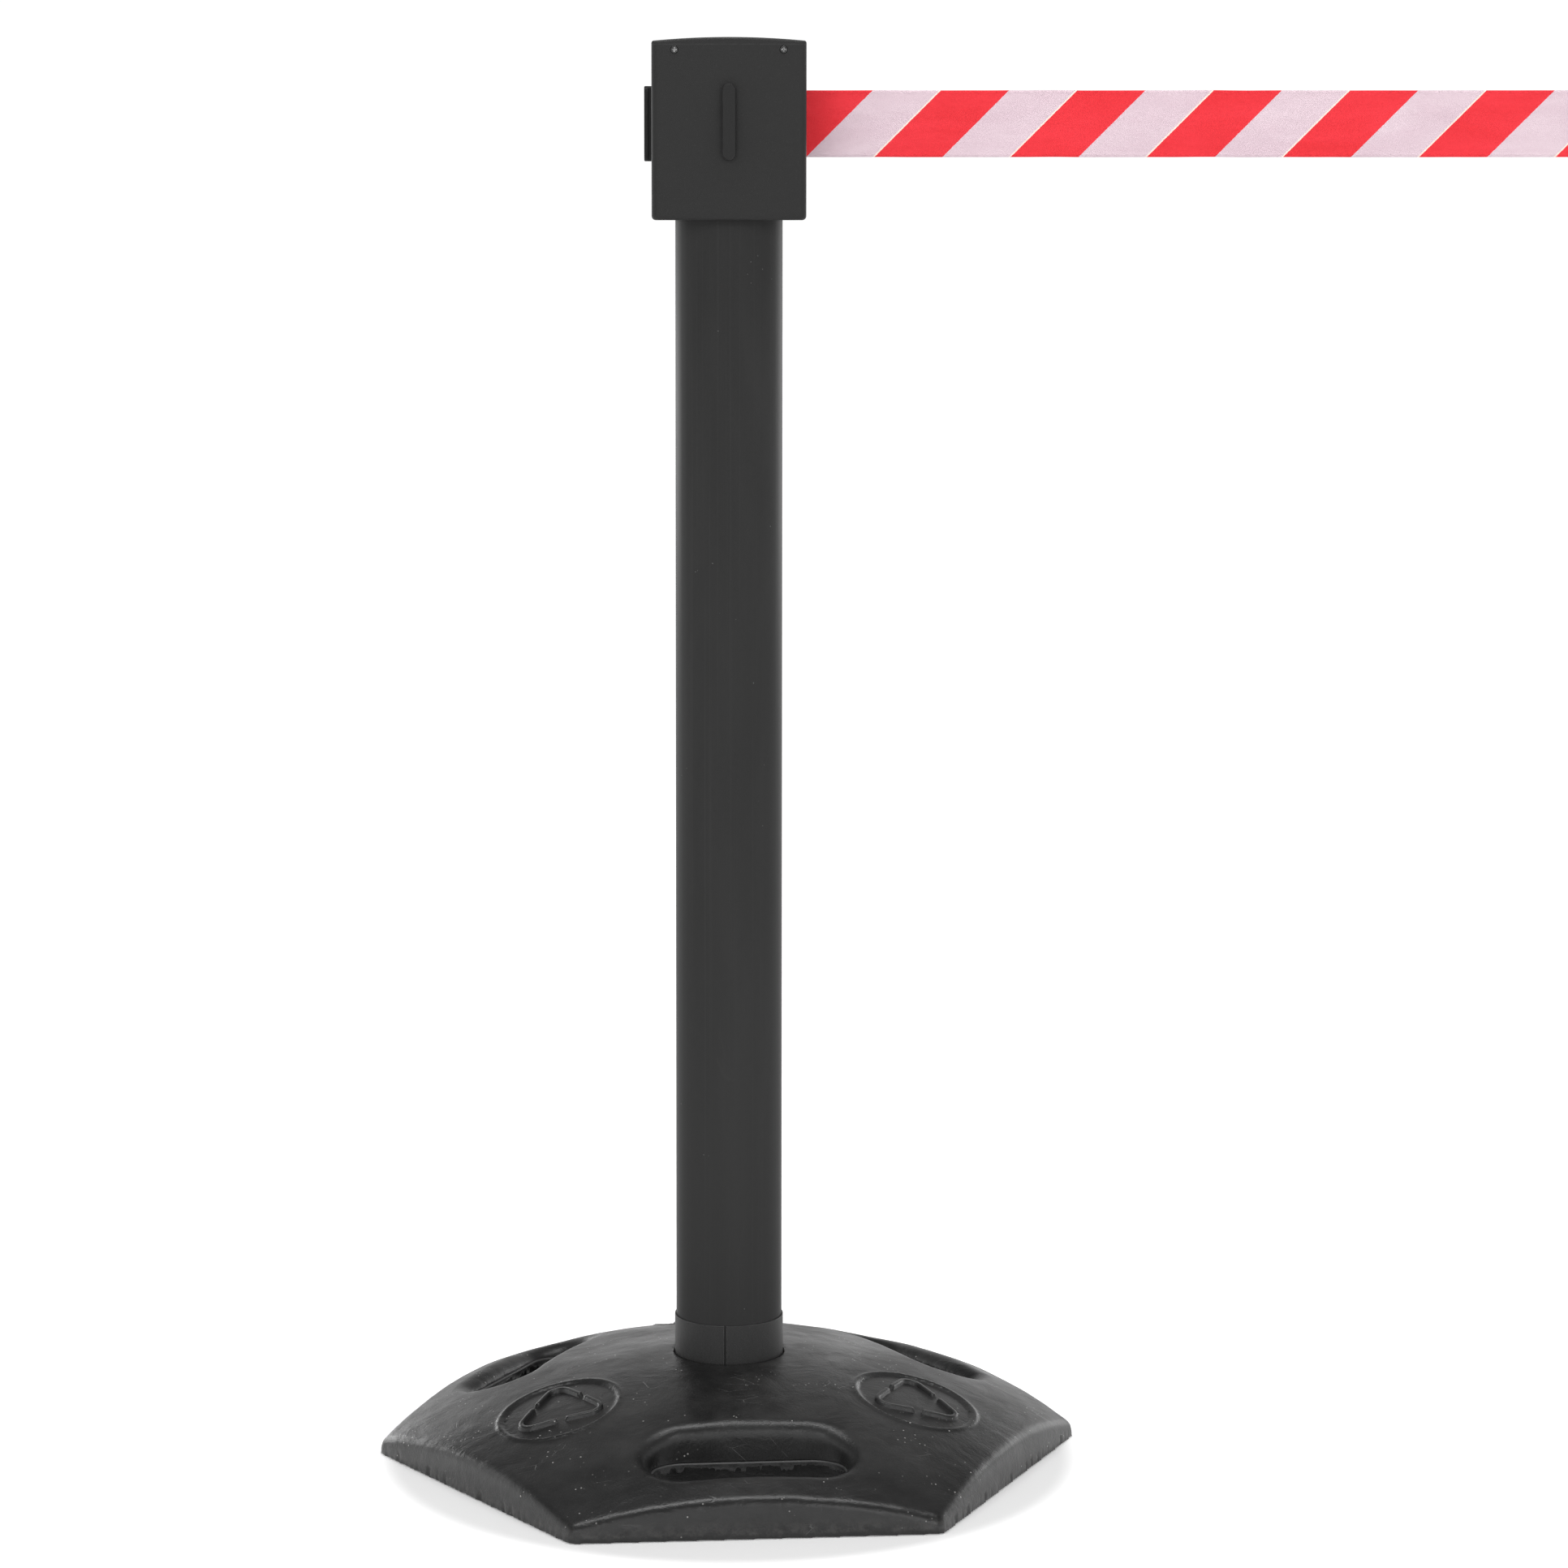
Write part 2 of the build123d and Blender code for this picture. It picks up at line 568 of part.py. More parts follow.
def receiver(plane):
    """T-shaped rail: a narrow stem with a wider rounded flange."""
    with BuildPart() as rail:
        with BuildSketch(plane):
            SlotOverall(RAIL_HEIGHT, RAIL_STEM, rotation=90)
        extrude(amount=RAIL_STEM_DEPTH)
        with BuildSketch(plane.offset(RAIL_STEM_DEPTH)):
            SlotOverall(RAIL_HEIGHT, RAIL_WIDTH, rotation=90)
        extrude(amount=RAIL_FLANGE)
        outer = rail.faces().filter_by(plane).sort_by(SortBy.DISTANCE)[-1]
        fillet(outer.edges(), 0.8)
        with BuildSketch(plane):
            with GridLocations(0, RAIL_SCREW_SPACING, 1, 2):
                Circle(RAIL_SCREW_RADIUS + RUNNING_FIT)
        extrude(amount=RAIL_STEM_DEPTH + RAIL_FLANGE - 1, mode=Mode.SUBTRACT)
    return rail


for name, turn in RAIL_TURNS.items():
    save(receiver(face_plane(turn, BELT_CENTRE)), name)

with BuildPart() as receiver_screws:
    for turn in RAIL_TURNS.values():
        inner_wall = face_plane(turn, BELT_CENTRE).offset(-HEAD_WALL)
        inward = Plane(origin=inner_wall.origin, x_dir=inner_wall.x_dir, z_dir=-inner_wall.z_dir)
        with Locations(inward):
            with GridLocations(0, RAIL_SCREW_SPACING, 1, 2):
                add(
                    pan_screw(
                        RAIL_SCREW_HEAD,
                        RAIL_SCREW_HEAD_HEIGHT,
                        RAIL_SCREW_RADIUS,
                        HEAD_WALL + RAIL_SCREW_BITE,
                    )
                )
save(receiver_screws, "receiver_screws")


# ================= Retractor cassette =================


def cassette_plate(foot, sunk_holes):
    """Square steel plate with holes for the pillars' screws, the spindle and the guide pin."""
    with BuildPart() as plate:
        with BuildSketch(level(foot)):
            RectangleRounded(2 * PLATE_HALF, 2 * PLATE_HALF, HEAD_CORNER)
            with GridLocations(2 * PILLAR_REACH, 2 * PILLAR_REACH, 2, 2):
                Circle(PILLAR_PILOT + 0.1, mode=Mode.SUBTRACT)
            with Locations((SPOOL_OFFSET, 0)):
                Circle(SPINDLE_RADIUS + RUNNING_FIT, mode=Mode.SUBTRACT)
            with Locations((GUIDE_X, GUIDE_Y)):
                Circle(GUIDE_PIN_RADIUS + RUNNING_FIT, mode=Mode.SUBTRACT)
        extrude(amount=PLATE_THICKNESS)
        if sunk_holes:
            with Locations((0, 0, foot + PLATE_THICKNESS)):
                with PolarLocations(PEDESTAL_SCREW_RADIUS, 4, start_angle=45):
                    CounterSinkHole(
                        PEDESTAL_PILOT + RUNNING_FIT, PEDESTAL_SCREW_HEAD + 0.1, depth=PLATE_THICKNESS
                    )
    return plate


save(cassette_plate(CASSETTE_FOOT, True), "cassette_base")
save(cassette_plate(CASSETTE_TOP, False), "cassette_top")

PILLAR_FOOT = CASSETTE_FOOT + PLATE_THICKNESS
with BuildPart() as cassette_pillars:
    with BuildSketch(level(PILLAR_FOOT)):
        with GridLocations(2 * PILLAR_REACH, 2 * PILLAR_REACH, 2, 2):
            Circle(PILLAR_RADIUS)
    extrude(amount=CASSETTE_TOP - PILLAR_FOOT)
    for end, depth in ((PILLAR_FOOT, PILLAR_PILOT_DEPTH), (CASSETTE_TOP, -PILLAR_PILOT_DEPTH)):
        with BuildSketch(level(end)):
            with GridLocations(2 * PILLAR_REACH, 2 * PILLAR_REACH, 2, 2):
                Circle(PILLAR_PILOT)
        extrude(amount=depth, mode=Mode.SUBTRACT)
save(cassette_pillars, "cassette_pillars")

with BuildPart() as cassette_screws:
    top_face = level(CASSETTE_TOP + PLATE_THICKNESS)
    under_face = Plane(origin=(0, 0, CASSETTE_FOOT), x_dir=(1, 0, 0), z_dir=(0, 0, -1))
    for plane in (top_face, under_face):
        with Locations(plane):
            with GridLocations(2 * PILLAR_REACH, 2 * PILLAR_REACH, 2, 2):
                add(
                    pan_screw(
                        PILLAR_SCREW_HEAD,
                        PILLAR_SCREW_HEAD_HEIGHT,
                        PILLAR_PILOT - RUNNING_FIT,
                        PLATE_THICKNESS + PILLAR_SCREW_BITE,
                    )
                )
save(cassette_screws, "cassette_screws")

# Fixed spindle, slotted for the power spring's inner end and grooved for its retaining rings.
SPINDLE_OVERHANG = 3.0
SPINDLE_FOOT = CASSETTE_FOOT - SPINDLE_OVERHANG
SPINDLE_TOP = CASSETTE_TOP + PLATE_THICKNESS + SPINDLE_OVERHANG
GROOVE_RADIUS = 3.2
RING_RADIUS = 7.0
RING_MOUTH = 3.6
RING_THICKNESS = 0.8
RING_PLAY = 0.2
SPRING_LOW = BELT_CENTRE - SPRING_HEIGHT / 2
lower_ring = CASSETTE_FOOT - RING_PLAY - RING_THICKNESS
upper_ring = CASSETTE_TOP + PLATE_THICKNESS + RING_PLAY
with BuildPart() as spindle:
    with Locations((SPOOL_OFFSET, 0, SPINDLE_FOOT)):
        Cylinder(SPINDLE_RADIUS, SPINDLE_TOP - SPINDLE_FOOT, align=UP)
    for foot in (lower_ring, upper_ring):
        with BuildSketch(level(foot)):
            with Locations((SPOOL_OFFSET, 0)):
                Circle(SPINDLE_RADIUS)
                Circle(GROOVE_RADIUS, mode=Mode.SUBTRACT)
        extrude(amount=RING_THICKNESS, mode=Mode.SUBTRACT)
    with Locations((SPOOL_OFFSET, 0, BELT_CENTRE)):
        Box(2 * SPINDLE_RADIUS, SPINDLE_SLOT, SPRING_HEIGHT + 2, mode=Mode.SUBTRACT)
save(spindle, "spindle")

with BuildPart() as spindle_rings:
    for foot in (lower_ring, upper_ring):
        with BuildSketch(level(foot)):
            with Locations((SPOOL_OFFSET, 0)):
                Circle(RING_RADIUS)
                Circle(GROOVE_RADIUS + RUNNING_FIT, mode=Mode.SUBTRACT)
                with Locations((RING_RADIUS / 2 + 1, 0)):
                    Rectangle(RING_RADIUS - 1.5, RING_MOUTH, mode=Mode.SUBTRACT)
        extrude(amount=RING_THICKNESS)
save(spindle_rings, "spindle_rings")


# ================= Spool =================

BOSS_OVERLAP = 7.5
DRUM_BOSS_LOW = FLANGE_LOW - 4.5
DRUM_BOSS_HIGH = HUB_FOOT + BOSS_OVERLAP
CAP_BOSS_LOW = FLANGE_HIGH - BOSS_OVERLAP
CAP_BOSS_HIGH = FLANGE_HIGH + FLANGE_THICKNESS + 2.4
BUSH_FIT = 0.02
FLANGE_SCREW_RADIUS = 0.9
FLANGE_SCREW_HEAD = 1.8
FLANGE_SCREW_HEAD_HEIGHT = 1.2
FLANGE_SCREW_BITE = 8.0
HOOK_SLOT = 1.4
FLANGE_SCREW_REACH = HUB_RADIUS - HUB_WALL / 2
ANCHOR_RADIUS = 1.0
ANCHOR_REACH = HUB_RADIUS - 0.9
ANCHOR_TURN = 200.0
SPOOL_CENTRE = (SPOOL_OFFSET, 0)

with BuildPart() as spool_drum:
    with BuildSketch(level(FLANGE_LOW)):
        with Locations(SPOOL_CENTRE):
            Circle(FLANGE_RADIUS)
    extrude(amount=FLANGE_THICKNESS)
    with BuildSketch(level(HUB_FOOT)):
        with Locations(SPOOL_CENTRE):
            Circle(HUB_RADIUS)
            Circle(HUB_RADIUS - HUB_WALL, mode=Mode.SUBTRACT)
    extrude(amount=FLANGE_HIGH - HUB_FOOT)
    with BuildSketch(level(DRUM_BOSS_LOW)):
        with Locations(SPOOL_CENTRE):
            Circle(BOSS_RADIUS)
    extrude(amount=DRUM_BOSS_HIGH - DRUM_BOSS_LOW)
    with Locations((SPOOL_OFFSET, 0, DRUM_BOSS_LOW)):
        Cylinder(BUSH_RADIUS + BUSH_FIT, BUSH_LENGTH, align=UP, mode=Mode.SUBTRACT)
        Cylinder(SPINDLE_RADIUS + 1, HEAD_SIDE, align=UP, mode=Mode.SUBTRACT)
    # Pilot holes for the upper flange's screws, and the belt pin's groove.
    with BuildSketch(level(FLANGE_HIGH)):
        with Locations(SPOOL_CENTRE):
            with PolarLocations(FLANGE_SCREW_REACH, 3):
                Circle(FLANGE_SCREW_RADIUS + RUNNING_FIT)
    extrude(amount=-FLANGE_SCREW_BITE - 1, mode=Mode.SUBTRACT)
    with BuildSketch(level(HUB_FOOT)):
        with Locations(SPOOL_CENTRE):
            with PolarLocations(ANCHOR_REACH, 1, start_angle=ANCHOR_TURN):
                Circle(ANCHOR_RADIUS + RUNNING_FIT)
    extrude(amount=FLANGE_HIGH - HUB_FOOT, mode=Mode.SUBTRACT)
    # Slot that holds the power spring's outer hook.
    with Locations((SPOOL_OFFSET - HUB_RADIUS + HUB_WALL / 2, 0, BELT_CENTRE)):
        Box(HUB_WALL + 1, HOOK_SLOT, SPRING_HEIGHT + 2, mode=Mode.SUBTRACT)
save(spool_drum, "spool_drum")

SPIGOT_WALL = 2.0
SPIGOT_HEIGHT = 4.0
THRUST_PLAY = 0.1
with BuildPart() as spool_flange:
    with BuildSketch(level(FLANGE_HIGH)):
        with Locations(SPOOL_CENTRE):
            Circle(FLANGE_RADIUS)
    extrude(amount=FLANGE_THICKNESS)
    with BuildSketch(level(FLANGE_HIGH)):
        with Locations(SPOOL_CENTRE):
            Circle(HUB_RADIUS - HUB_WALL - 0.1)
            Circle(HUB_RADIUS - HUB_WALL - SPIGOT_WALL, mode=Mode.SUBTRACT)
    extrude(amount=-SPIGOT_HEIGHT)
    with BuildSketch(level(CAP_BOSS_LOW)):
        with Locations(SPOOL_CENTRE):
            Circle(BOSS_RADIUS)
    extrude(amount=CAP_BOSS_HIGH - CAP_BOSS_LOW)
    with Locations((SPOOL_OFFSET, 0, CAP_BOSS_HIGH)):
        Cylinder(BUSH_RADIUS + BUSH_FIT, BUSH_LENGTH, align=DOWN, mode=Mode.SUBTRACT)
        Cylinder(SPINDLE_RADIUS + 1, HEAD_SIDE, align=DOWN, mode=Mode.SUBTRACT)
    with BuildSketch(level(FLANGE_HIGH)):
        with Locations(SPOOL_CENTRE):
            with PolarLocations(FLANGE_SCREW_REACH, 3):
                Circle(FLANGE_SCREW_RADIUS + SCREW_CLEARANCE)
    extrude(amount=FLANGE_THICKNESS, mode=Mode.SUBTRACT)
save(spool_flange, "spool_flange")

with BuildPart() as flange_screws:
    with Locations((SPOOL_OFFSET, 0, FLANGE_HIGH + FLANGE_THICKNESS)):
        with PolarLocations(FLANGE_SCREW_REACH, 3):
            add(
                pan_screw(
                    FLANGE_SCREW_HEAD,
                    FLANGE_SCREW_HEAD_HEIGHT,
                    FLANGE_SCREW_RADIUS,
                    FLANGE_THICKNESS + FLANGE_SCREW_BITE,
                )
            )
save(flange_screws, "flange_screws")


def bush(seat, way):
    """Flanged bush that turns on the spindle: its body points along way, its flange against it."""
    with BuildPart() as piece:
        for outer, amount in ((BUSH_RADIUS, way * BUSH_LENGTH), (BOSS_RADIUS, -way * BUSH_FLANGE)):
            with BuildSketch(level(seat)):
                with Locations(SPOOL_CENTRE):
                    Circle(outer)
                    Circle(SPINDLE_RADIUS + RUNNING_FIT, mode=Mode.SUBTRACT)
            extrude(amount=amount)
    return piece


save(bush(DRUM_BOSS_LOW, 1), "lower_bush")
save(bush(CAP_BOSS_HIGH, -1), "upper_bush")

thrust_low = PILLAR_FOOT + THRUST_PLAY
thrust_high = CAP_BOSS_HIGH + BUSH_FLANGE + THRUST_PLAY
with BuildPart() as thrust_washers:
    for foot, top in (
        (thrust_low, DRUM_BOSS_LOW - BUSH_FLANGE - THRUST_PLAY),
        (thrust_high, CASSETTE_TOP - THRUST_PLAY),
    ):
        with BuildSketch(level(foot)):
            with Locations(SPOOL_CENTRE):
                Circle(BOSS_RADIUS)
                Circle(SPINDLE_RADIUS + RUNNING_FIT, mode=Mode.SUBTRACT)
        extrude(amount=top - foot)
save(thrust_washers, "thrust_washers")

with BuildPart() as belt_anchor:
    with BuildSketch(level(BELT_LOW + 0.5)):
        with Locations(SPOOL_CENTRE):
            with PolarLocations(ANCHOR_REACH, 1, start_angle=ANCHOR_TURN):
                Circle(ANCHOR_RADIUS)
    extrude(amount=BELT_WIDTH - 1)
save(belt_anchor, "belt_anchor")

# Spiral power spring: its inner tab lies in the spindle's slot, its outer hook in the drum's.
SPRING_START = 5.2
SPRING_TAB = 2.4
HOOK_END = HUB_RADIUS - 0.6
spring_end = SPRING_START + (2 * SPRING_TURNS - 1) * SPRING_PITCH / 2
with BuildPart() as power_spring:
    with BuildSketch(Plane((SPOOL_OFFSET, 0, SPRING_LOW))):
        add(spiral(SPRING_START, SPRING_PITCH, 2 * SPRING_TURNS + 1, SPRING_THICKNESS, 1))
        with Locations(((SPRING_START + SPRING_THICKNESS - SPRING_TAB) / 2, 0)):
            Rectangle(SPRING_START + SPRING_THICKNESS + SPRING_TAB, SPRING_THICKNESS)
        with Locations((-(spring_end + HOOK_END) / 2 - 0.1, 0)):
            Rectangle(HOOK_END - spring_end, SPRING_THICKNESS)
    extrude(amount=SPRING_HEIGHT)
save(power_spring, "power_spring")


# ================= Belt =================

# The belt leaves the coil on a tangent, turns round the guide roller and runs out along X.
guide_span = math.hypot(GUIDE_X - SPOOL_OFFSET, GUIDE_Y)
coil_line = COIL_OUTER + SOFT_CLEARANCE + BELT_THICKNESS / 2
belt_slope = math.atan2(GUIDE_Y, GUIDE_X - SPOOL_OFFSET) - math.asin((coil_line + GUIDE_Y) / guide_span)
leave_angle = belt_slope + math.pi / 2
leave = Vector(math.cos(leave_angle), math.sin(leave_angle))
coil_point = Vector(SPOOL_OFFSET, 0) + leave * coil_line
guide_centre = Vector(GUIDE_X, GUIDE_Y)
guide_point = guide_centre - leave * GUIDE_Y
half_turn = (leave_angle + math.pi / 2) / 2
mid_point = guide_centre - Vector(math.cos(half_turn), math.sin(half_turn)) * GUIDE_Y

with BuildPart() as belt_run:
    with BuildSketch(level(BELT_LOW)):
        with BuildLine() as path:
            Line(coil_point, guide_point)
            ThreePointArc(guide_point, mid_point, (GUIDE_X, 0))
            Line((GUIDE_X, 0), (HEAD_HALF, 0))
        trace(line_width=BELT_THICKNESS)
    extrude(amount=BELT_WIDTH)
save(belt_run, "belt_run")

coil_turn = math.degrees(leave_angle)
with BuildPart() as belt_coil:
    with BuildSketch(Plane((SPOOL_OFFSET, 0, BELT_LOW)).rotated((0, 0, coil_turn))):
        add(spiral(COIL_START, COIL_PITCH, 2 * COIL_TURNS, BELT_THICKNESS, -1))
    extrude(amount=BELT_WIDTH)
save(belt_coil, "belt_coil")

with BuildPart() as belt_strip:
    with BuildSketch(level(BELT_LOW)):
        with Locations(((HEAD_HALF + CLIP_START) / 2, 0)):
            Rectangle(CLIP_START - HEAD_HALF, BELT_THICKNESS)
    extrude(amount=BELT_WIDTH)
save(belt_strip, "belt_strip")

with BuildPart() as belt_loop:
    loop_radius = BELT_PIN_RADIUS + RUNNING_FIT + BELT_THICKNESS
    with BuildSketch(level(BELT_LOW)):
        with Locations(((CLIP_START + LOOP_X) / 2, 0)):
            Rectangle(LOOP_X - CLIP_START, BELT_THICKNESS)
        with Locations((LOOP_X, 0)):
            Circle(loop_radius)
            Circle(BELT_PIN_RADIUS + RUNNING_FIT, mode=Mode.SUBTRACT)
    extrude(amount=BELT_WIDTH)
save(belt_loop, "belt_loop")


# ================= Guide roller =================

save(
    ring(GUIDE_RADIUS, GUIDE_PIN_RADIUS + RUNNING_FIT, BELT_LOW - 1, BELT_HIGH + 1, (GUIDE_X, GUIDE_Y)),
    "guide_roller",
)
with BuildPart() as guide_pin:
    with BuildSketch(level(CASSETTE_FOOT)):
        with Locations((GUIDE_X, GUIDE_Y)):
            Circle(GUIDE_PIN_RADIUS)
    extrude(amount=CASSETTE_TOP + PLATE_THICKNESS - CASSETTE_FOOT)
save(guide_pin, "guide_pin")


# ================= Belt-end clip =================

CLIP_EDGE_FILLET = 1.2
BELT_SLOT = 2.4
BELT_PIN_COVER = 3.0
LEVER_PROUD = 0.8
CHANNEL_WALL = 1.5
THUMB_TRAVEL = 2.8
RIB_PITCH = 3.0
RIB_GROOVE = 1.2
RIB_DEPTH = 0.4
SPRING_COIL_TURNS = 5
LEVER_FOOT = CLIP_FOOT + 2.0
LEVER_FACE = -CLIP_THICKNESS / 2 - LEVER_PROUD
LEVER_LEFT = CLIP_END - MOUTH_DEPTH - CHANNEL_DEPTH - CHANNEL_WALL - LEVER_WIDTH
LEVER_RIGHT = LEVER_LEFT + LEVER_WIDTH
LEVER_PIVOT_Z = LEVER_FOOT + LEVER_PIVOT_RISE
LEVER_PIVOT_Y = LEVER_FACE + LEVER_THICKNESS / 2 + 0.3
LEVER_MARGIN = 0.4
NOSE_RISE = 4.0
NOSE_TIP = -1.5
NOSE_RIGHT = CLIP_END - MOUTH_DEPTH - 0.5
THUMB_Z = LEVER_FOOT + LEVER_HEIGHT - 6.0
LATCH_SPRING_RADIUS = 2.0
LATCH_SPRING_WIRE = 0.25
channel_middle = CLIP_END - MOUTH_DEPTH - CHANNEL_DEPTH / 2
lever_middle = (LEVER_LEFT + LEVER_RIGHT) / 2
lever_inner = LEVER_FACE + LEVER_THICKNESS
lever_axis = Plane((LEVER_LEFT, LEVER_PIVOT_Y, LEVER_PIVOT_Z), x_dir=(0, 1, 0), z_dir=(1, 0, 0))
PIN_TAIL = 3.5

with BuildPart() as clip_body:
    with BuildSketch(level(CLIP_FOOT)):
        with Locations(((CLIP_START + CLIP_END) / 2, 0)):
            RectangleRounded(CLIP_LENGTH, CLIP_THICKNESS, CLIP_CORNER)
    extrude(amount=CLIP_HEIGHT)
    ends = clip_body.faces().sort_by(Axis.Z)
    fillet(ends[0].edges() + ends[-1].edges(), CLIP_EDGE_FILLET)
    # T-shaped channel, open below, that drops over another stanchion's receiver.
    with BuildSketch(level(CLIP_FOOT)):
        with Locations((channel_middle, 0)):
            Rectangle(CHANNEL_DEPTH, 2 * CHANNEL_HALF)
        with Locations((CLIP_END - MOUTH_DEPTH / 2, 0)):
            Rectangle(MOUTH_DEPTH, 2 * MOUTH_HALF)
    extrude(amount=CLIP_HEIGHT - CHANNEL_ROOF, mode=Mode.SUBTRACT)
    # Room for the belt's loop, and the pin's hole from below.
    with BuildSketch(level(BELT_LOW - 1)):
        with Locations(((CLIP_START + LOOP_X) / 2, 0)):
            Rectangle(LOOP_X - CLIP_START, BELT_SLOT)
        with Locations((LOOP_X, 0)):
            Circle(loop_radius + 0.4)
    extrude(amount=BELT_WIDTH + 2, mode=Mode.SUBTRACT)
    with Locations((LOOP_X, 0, CLIP_FOOT)):
        Cylinder(
            BELT_PIN_RADIUS + RUNNING_FIT, CLIP_HEIGHT - BELT_PIN_COVER, align=UP, mode=Mode.SUBTRACT
        )
    # Pocket for the lever: shallow below its pivot, deeper behind its thumb end.
    pocket = LEVER_THICKNESS + LEVER_MARGIN - LEVER_PROUD
    with Locations((lever_middle, -CLIP_THICKNESS / 2, LEVER_FOOT + LEVER_HEIGHT / 2)):
        Box(
            LEVER_WIDTH + 2 * LEVER_MARGIN,
            2 * pocket,
            LEVER_HEIGHT + 2 * LEVER_MARGIN + 1,
            mode=Mode.SUBTRACT,
        )
    thumb_room = LEVER_FOOT + LEVER_HEIGHT - LEVER_PIVOT_Z + LEVER_MARGIN + 0.5
    with Locations((lever_middle, -CLIP_THICKNESS / 2, LEVER_PIVOT_Z)):
        Box(
            LEVER_WIDTH + 2 * LEVER_MARGIN,
            2 * (pocket + THUMB_TRAVEL),
            thumb_room,
            align=UP,
            mode=Mode.SUBTRACT,
        )
    # Window from the pocket into the channel for the lever's nose.
    with Locations(((LEVER_LEFT + NOSE_RIGHT) / 2, -CLIP_THICKNESS / 2, CLIP_FOOT)):
        Box(
            NOSE_RIGHT - LEVER_LEFT + 2 * LEVER_MARGIN,
            CLIP_THICKNESS + 2 * NOSE_TIP + 2 * LEVER_MARGIN,
            NOSE_RISE + 2.0 + 2 * LEVER_MARGIN,
            align=UP,
            mode=Mode.SUBTRACT,
        )
    # The lever pin's hole, and the seat of its spring.
    with BuildSketch(lever_axis.offset(-PIN_TAIL - 0.5)):
        Circle(LEVER_PIN_RADIUS + RUNNING_FIT)
    extrude(amount=LEVER_WIDTH + 2 * PIN_TAIL + 1, mode=Mode.SUBTRACT)
    with BuildSketch(Plane((lever_middle, 0, THUMB_Z), x_dir=(1, 0, 0), z_dir=(0, -1, 0)).offset(-2)):
        Circle(LATCH_SPRING_RADIUS + 0.6)
    extrude(amount=CLIP_THICKNESS / 2, mode=Mode.SUBTRACT)
save(clip_body, "clip_body")

with BuildPart() as belt_pin:
    with BuildSketch(level(CLIP_FOOT + 0.5)):
        with Locations((LOOP_X, 0)):
            Circle(BELT_PIN_RADIUS)
    extrude(amount=CLIP_HEIGHT - BELT_PIN_COVER - 1)
save(belt_pin, "belt_pin")

# Rocking lever: pressing its ribbed thumb end swings its nose out of the channel.
with BuildPart() as clip_lever:
    with Locations((lever_middle, (LEVER_FACE + lever_inner) / 2, LEVER_FOOT + LEVER_HEIGHT / 2)):
        Box(LEVER_WIDTH, LEVER_THICKNESS, LEVER_HEIGHT)
    with Locations(((lever_middle + NOSE_RIGHT) / 2, (LEVER_FACE + NOSE_TIP) / 2, LEVER_FOOT)):
        Box(NOSE_RIGHT - lever_middle, NOSE_TIP - LEVER_FACE, NOSE_RISE, align=UP)
    fillet(clip_lever.edges().filter_by(Axis.X).group_by(Axis.Y)[0], 0.7)
    with Locations((lever_middle, LEVER_FACE, THUMB_Z)):
        with GridLocations(0, RIB_PITCH, 1, 3):
            Box(LEVER_WIDTH - 3, 2 * RIB_DEPTH, RIB_GROOVE, mode=Mode.SUBTRACT)
    with BuildSketch(lever_axis):
        Circle(LEVER_PIN_RADIUS + RUNNING_FIT)
    extrude(amount=LEVER_WIDTH, mode=Mode.SUBTRACT)
save(clip_lever, "clip_lever")

with BuildPart() as lever_pin:
    with BuildSketch(lever_axis.offset(-PIN_TAIL)):
        Circle(LEVER_PIN_RADIUS)
    extrude(amount=LEVER_WIDTH + 2 * PIN_TAIL)
save(lever_pin, "lever_pin")

with BuildPart() as lever_spring:
    spring_foot = 1.7
    spring_length = spring_foot - lever_inner - 2 * LATCH_SPRING_WIRE
    spring_seat = (lever_middle, spring_foot - LATCH_SPRING_WIRE, THUMB_Z)
    with BuildLine():
        coil = Helix(
            spring_length / SPRING_COIL_TURNS,
            spring_length,
            LATCH_SPRING_RADIUS,
            spring_seat,
            (0, -1, 0),
        )
    with BuildSketch(Plane(coil @ 0, z_dir=coil % 0)):
        Circle(LATCH_SPRING_WIRE)
    sweep()
save(lever_spring, "lever_spring")
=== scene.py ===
import json
import math
import random

import bmesh
import bpy
import numpy as np
from mathutils import Matrix, Vector, noise


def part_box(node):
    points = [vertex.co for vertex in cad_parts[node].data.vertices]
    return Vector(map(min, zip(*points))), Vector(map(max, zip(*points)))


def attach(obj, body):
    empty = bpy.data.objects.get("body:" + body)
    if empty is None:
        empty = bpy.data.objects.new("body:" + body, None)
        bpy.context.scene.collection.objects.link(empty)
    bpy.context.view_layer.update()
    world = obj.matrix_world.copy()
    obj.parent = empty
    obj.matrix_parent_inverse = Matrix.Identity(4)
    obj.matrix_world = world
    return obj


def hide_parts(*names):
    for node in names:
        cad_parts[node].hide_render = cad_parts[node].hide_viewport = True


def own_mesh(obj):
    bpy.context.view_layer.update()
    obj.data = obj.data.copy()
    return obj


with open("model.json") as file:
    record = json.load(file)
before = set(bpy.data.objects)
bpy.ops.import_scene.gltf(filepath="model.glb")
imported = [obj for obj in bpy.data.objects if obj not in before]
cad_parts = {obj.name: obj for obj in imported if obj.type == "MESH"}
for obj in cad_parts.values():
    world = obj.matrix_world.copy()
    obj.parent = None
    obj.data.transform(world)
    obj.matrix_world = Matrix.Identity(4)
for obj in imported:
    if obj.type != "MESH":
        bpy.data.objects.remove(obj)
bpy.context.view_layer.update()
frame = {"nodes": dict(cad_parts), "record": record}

# Retractable belt stanchion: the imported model's nodes with procedural materials, and pieces
# modelled here: the base's rubber skin, the flash in its hand holds, its badge bars, the belt
# with its stitches, and the lever's spring.
# Metres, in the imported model's frame: floor at Z = 0, -Y to the front, +X along the belt.

nodes = frame["nodes"]
record = frame["record"]
scene = bpy.context.scene

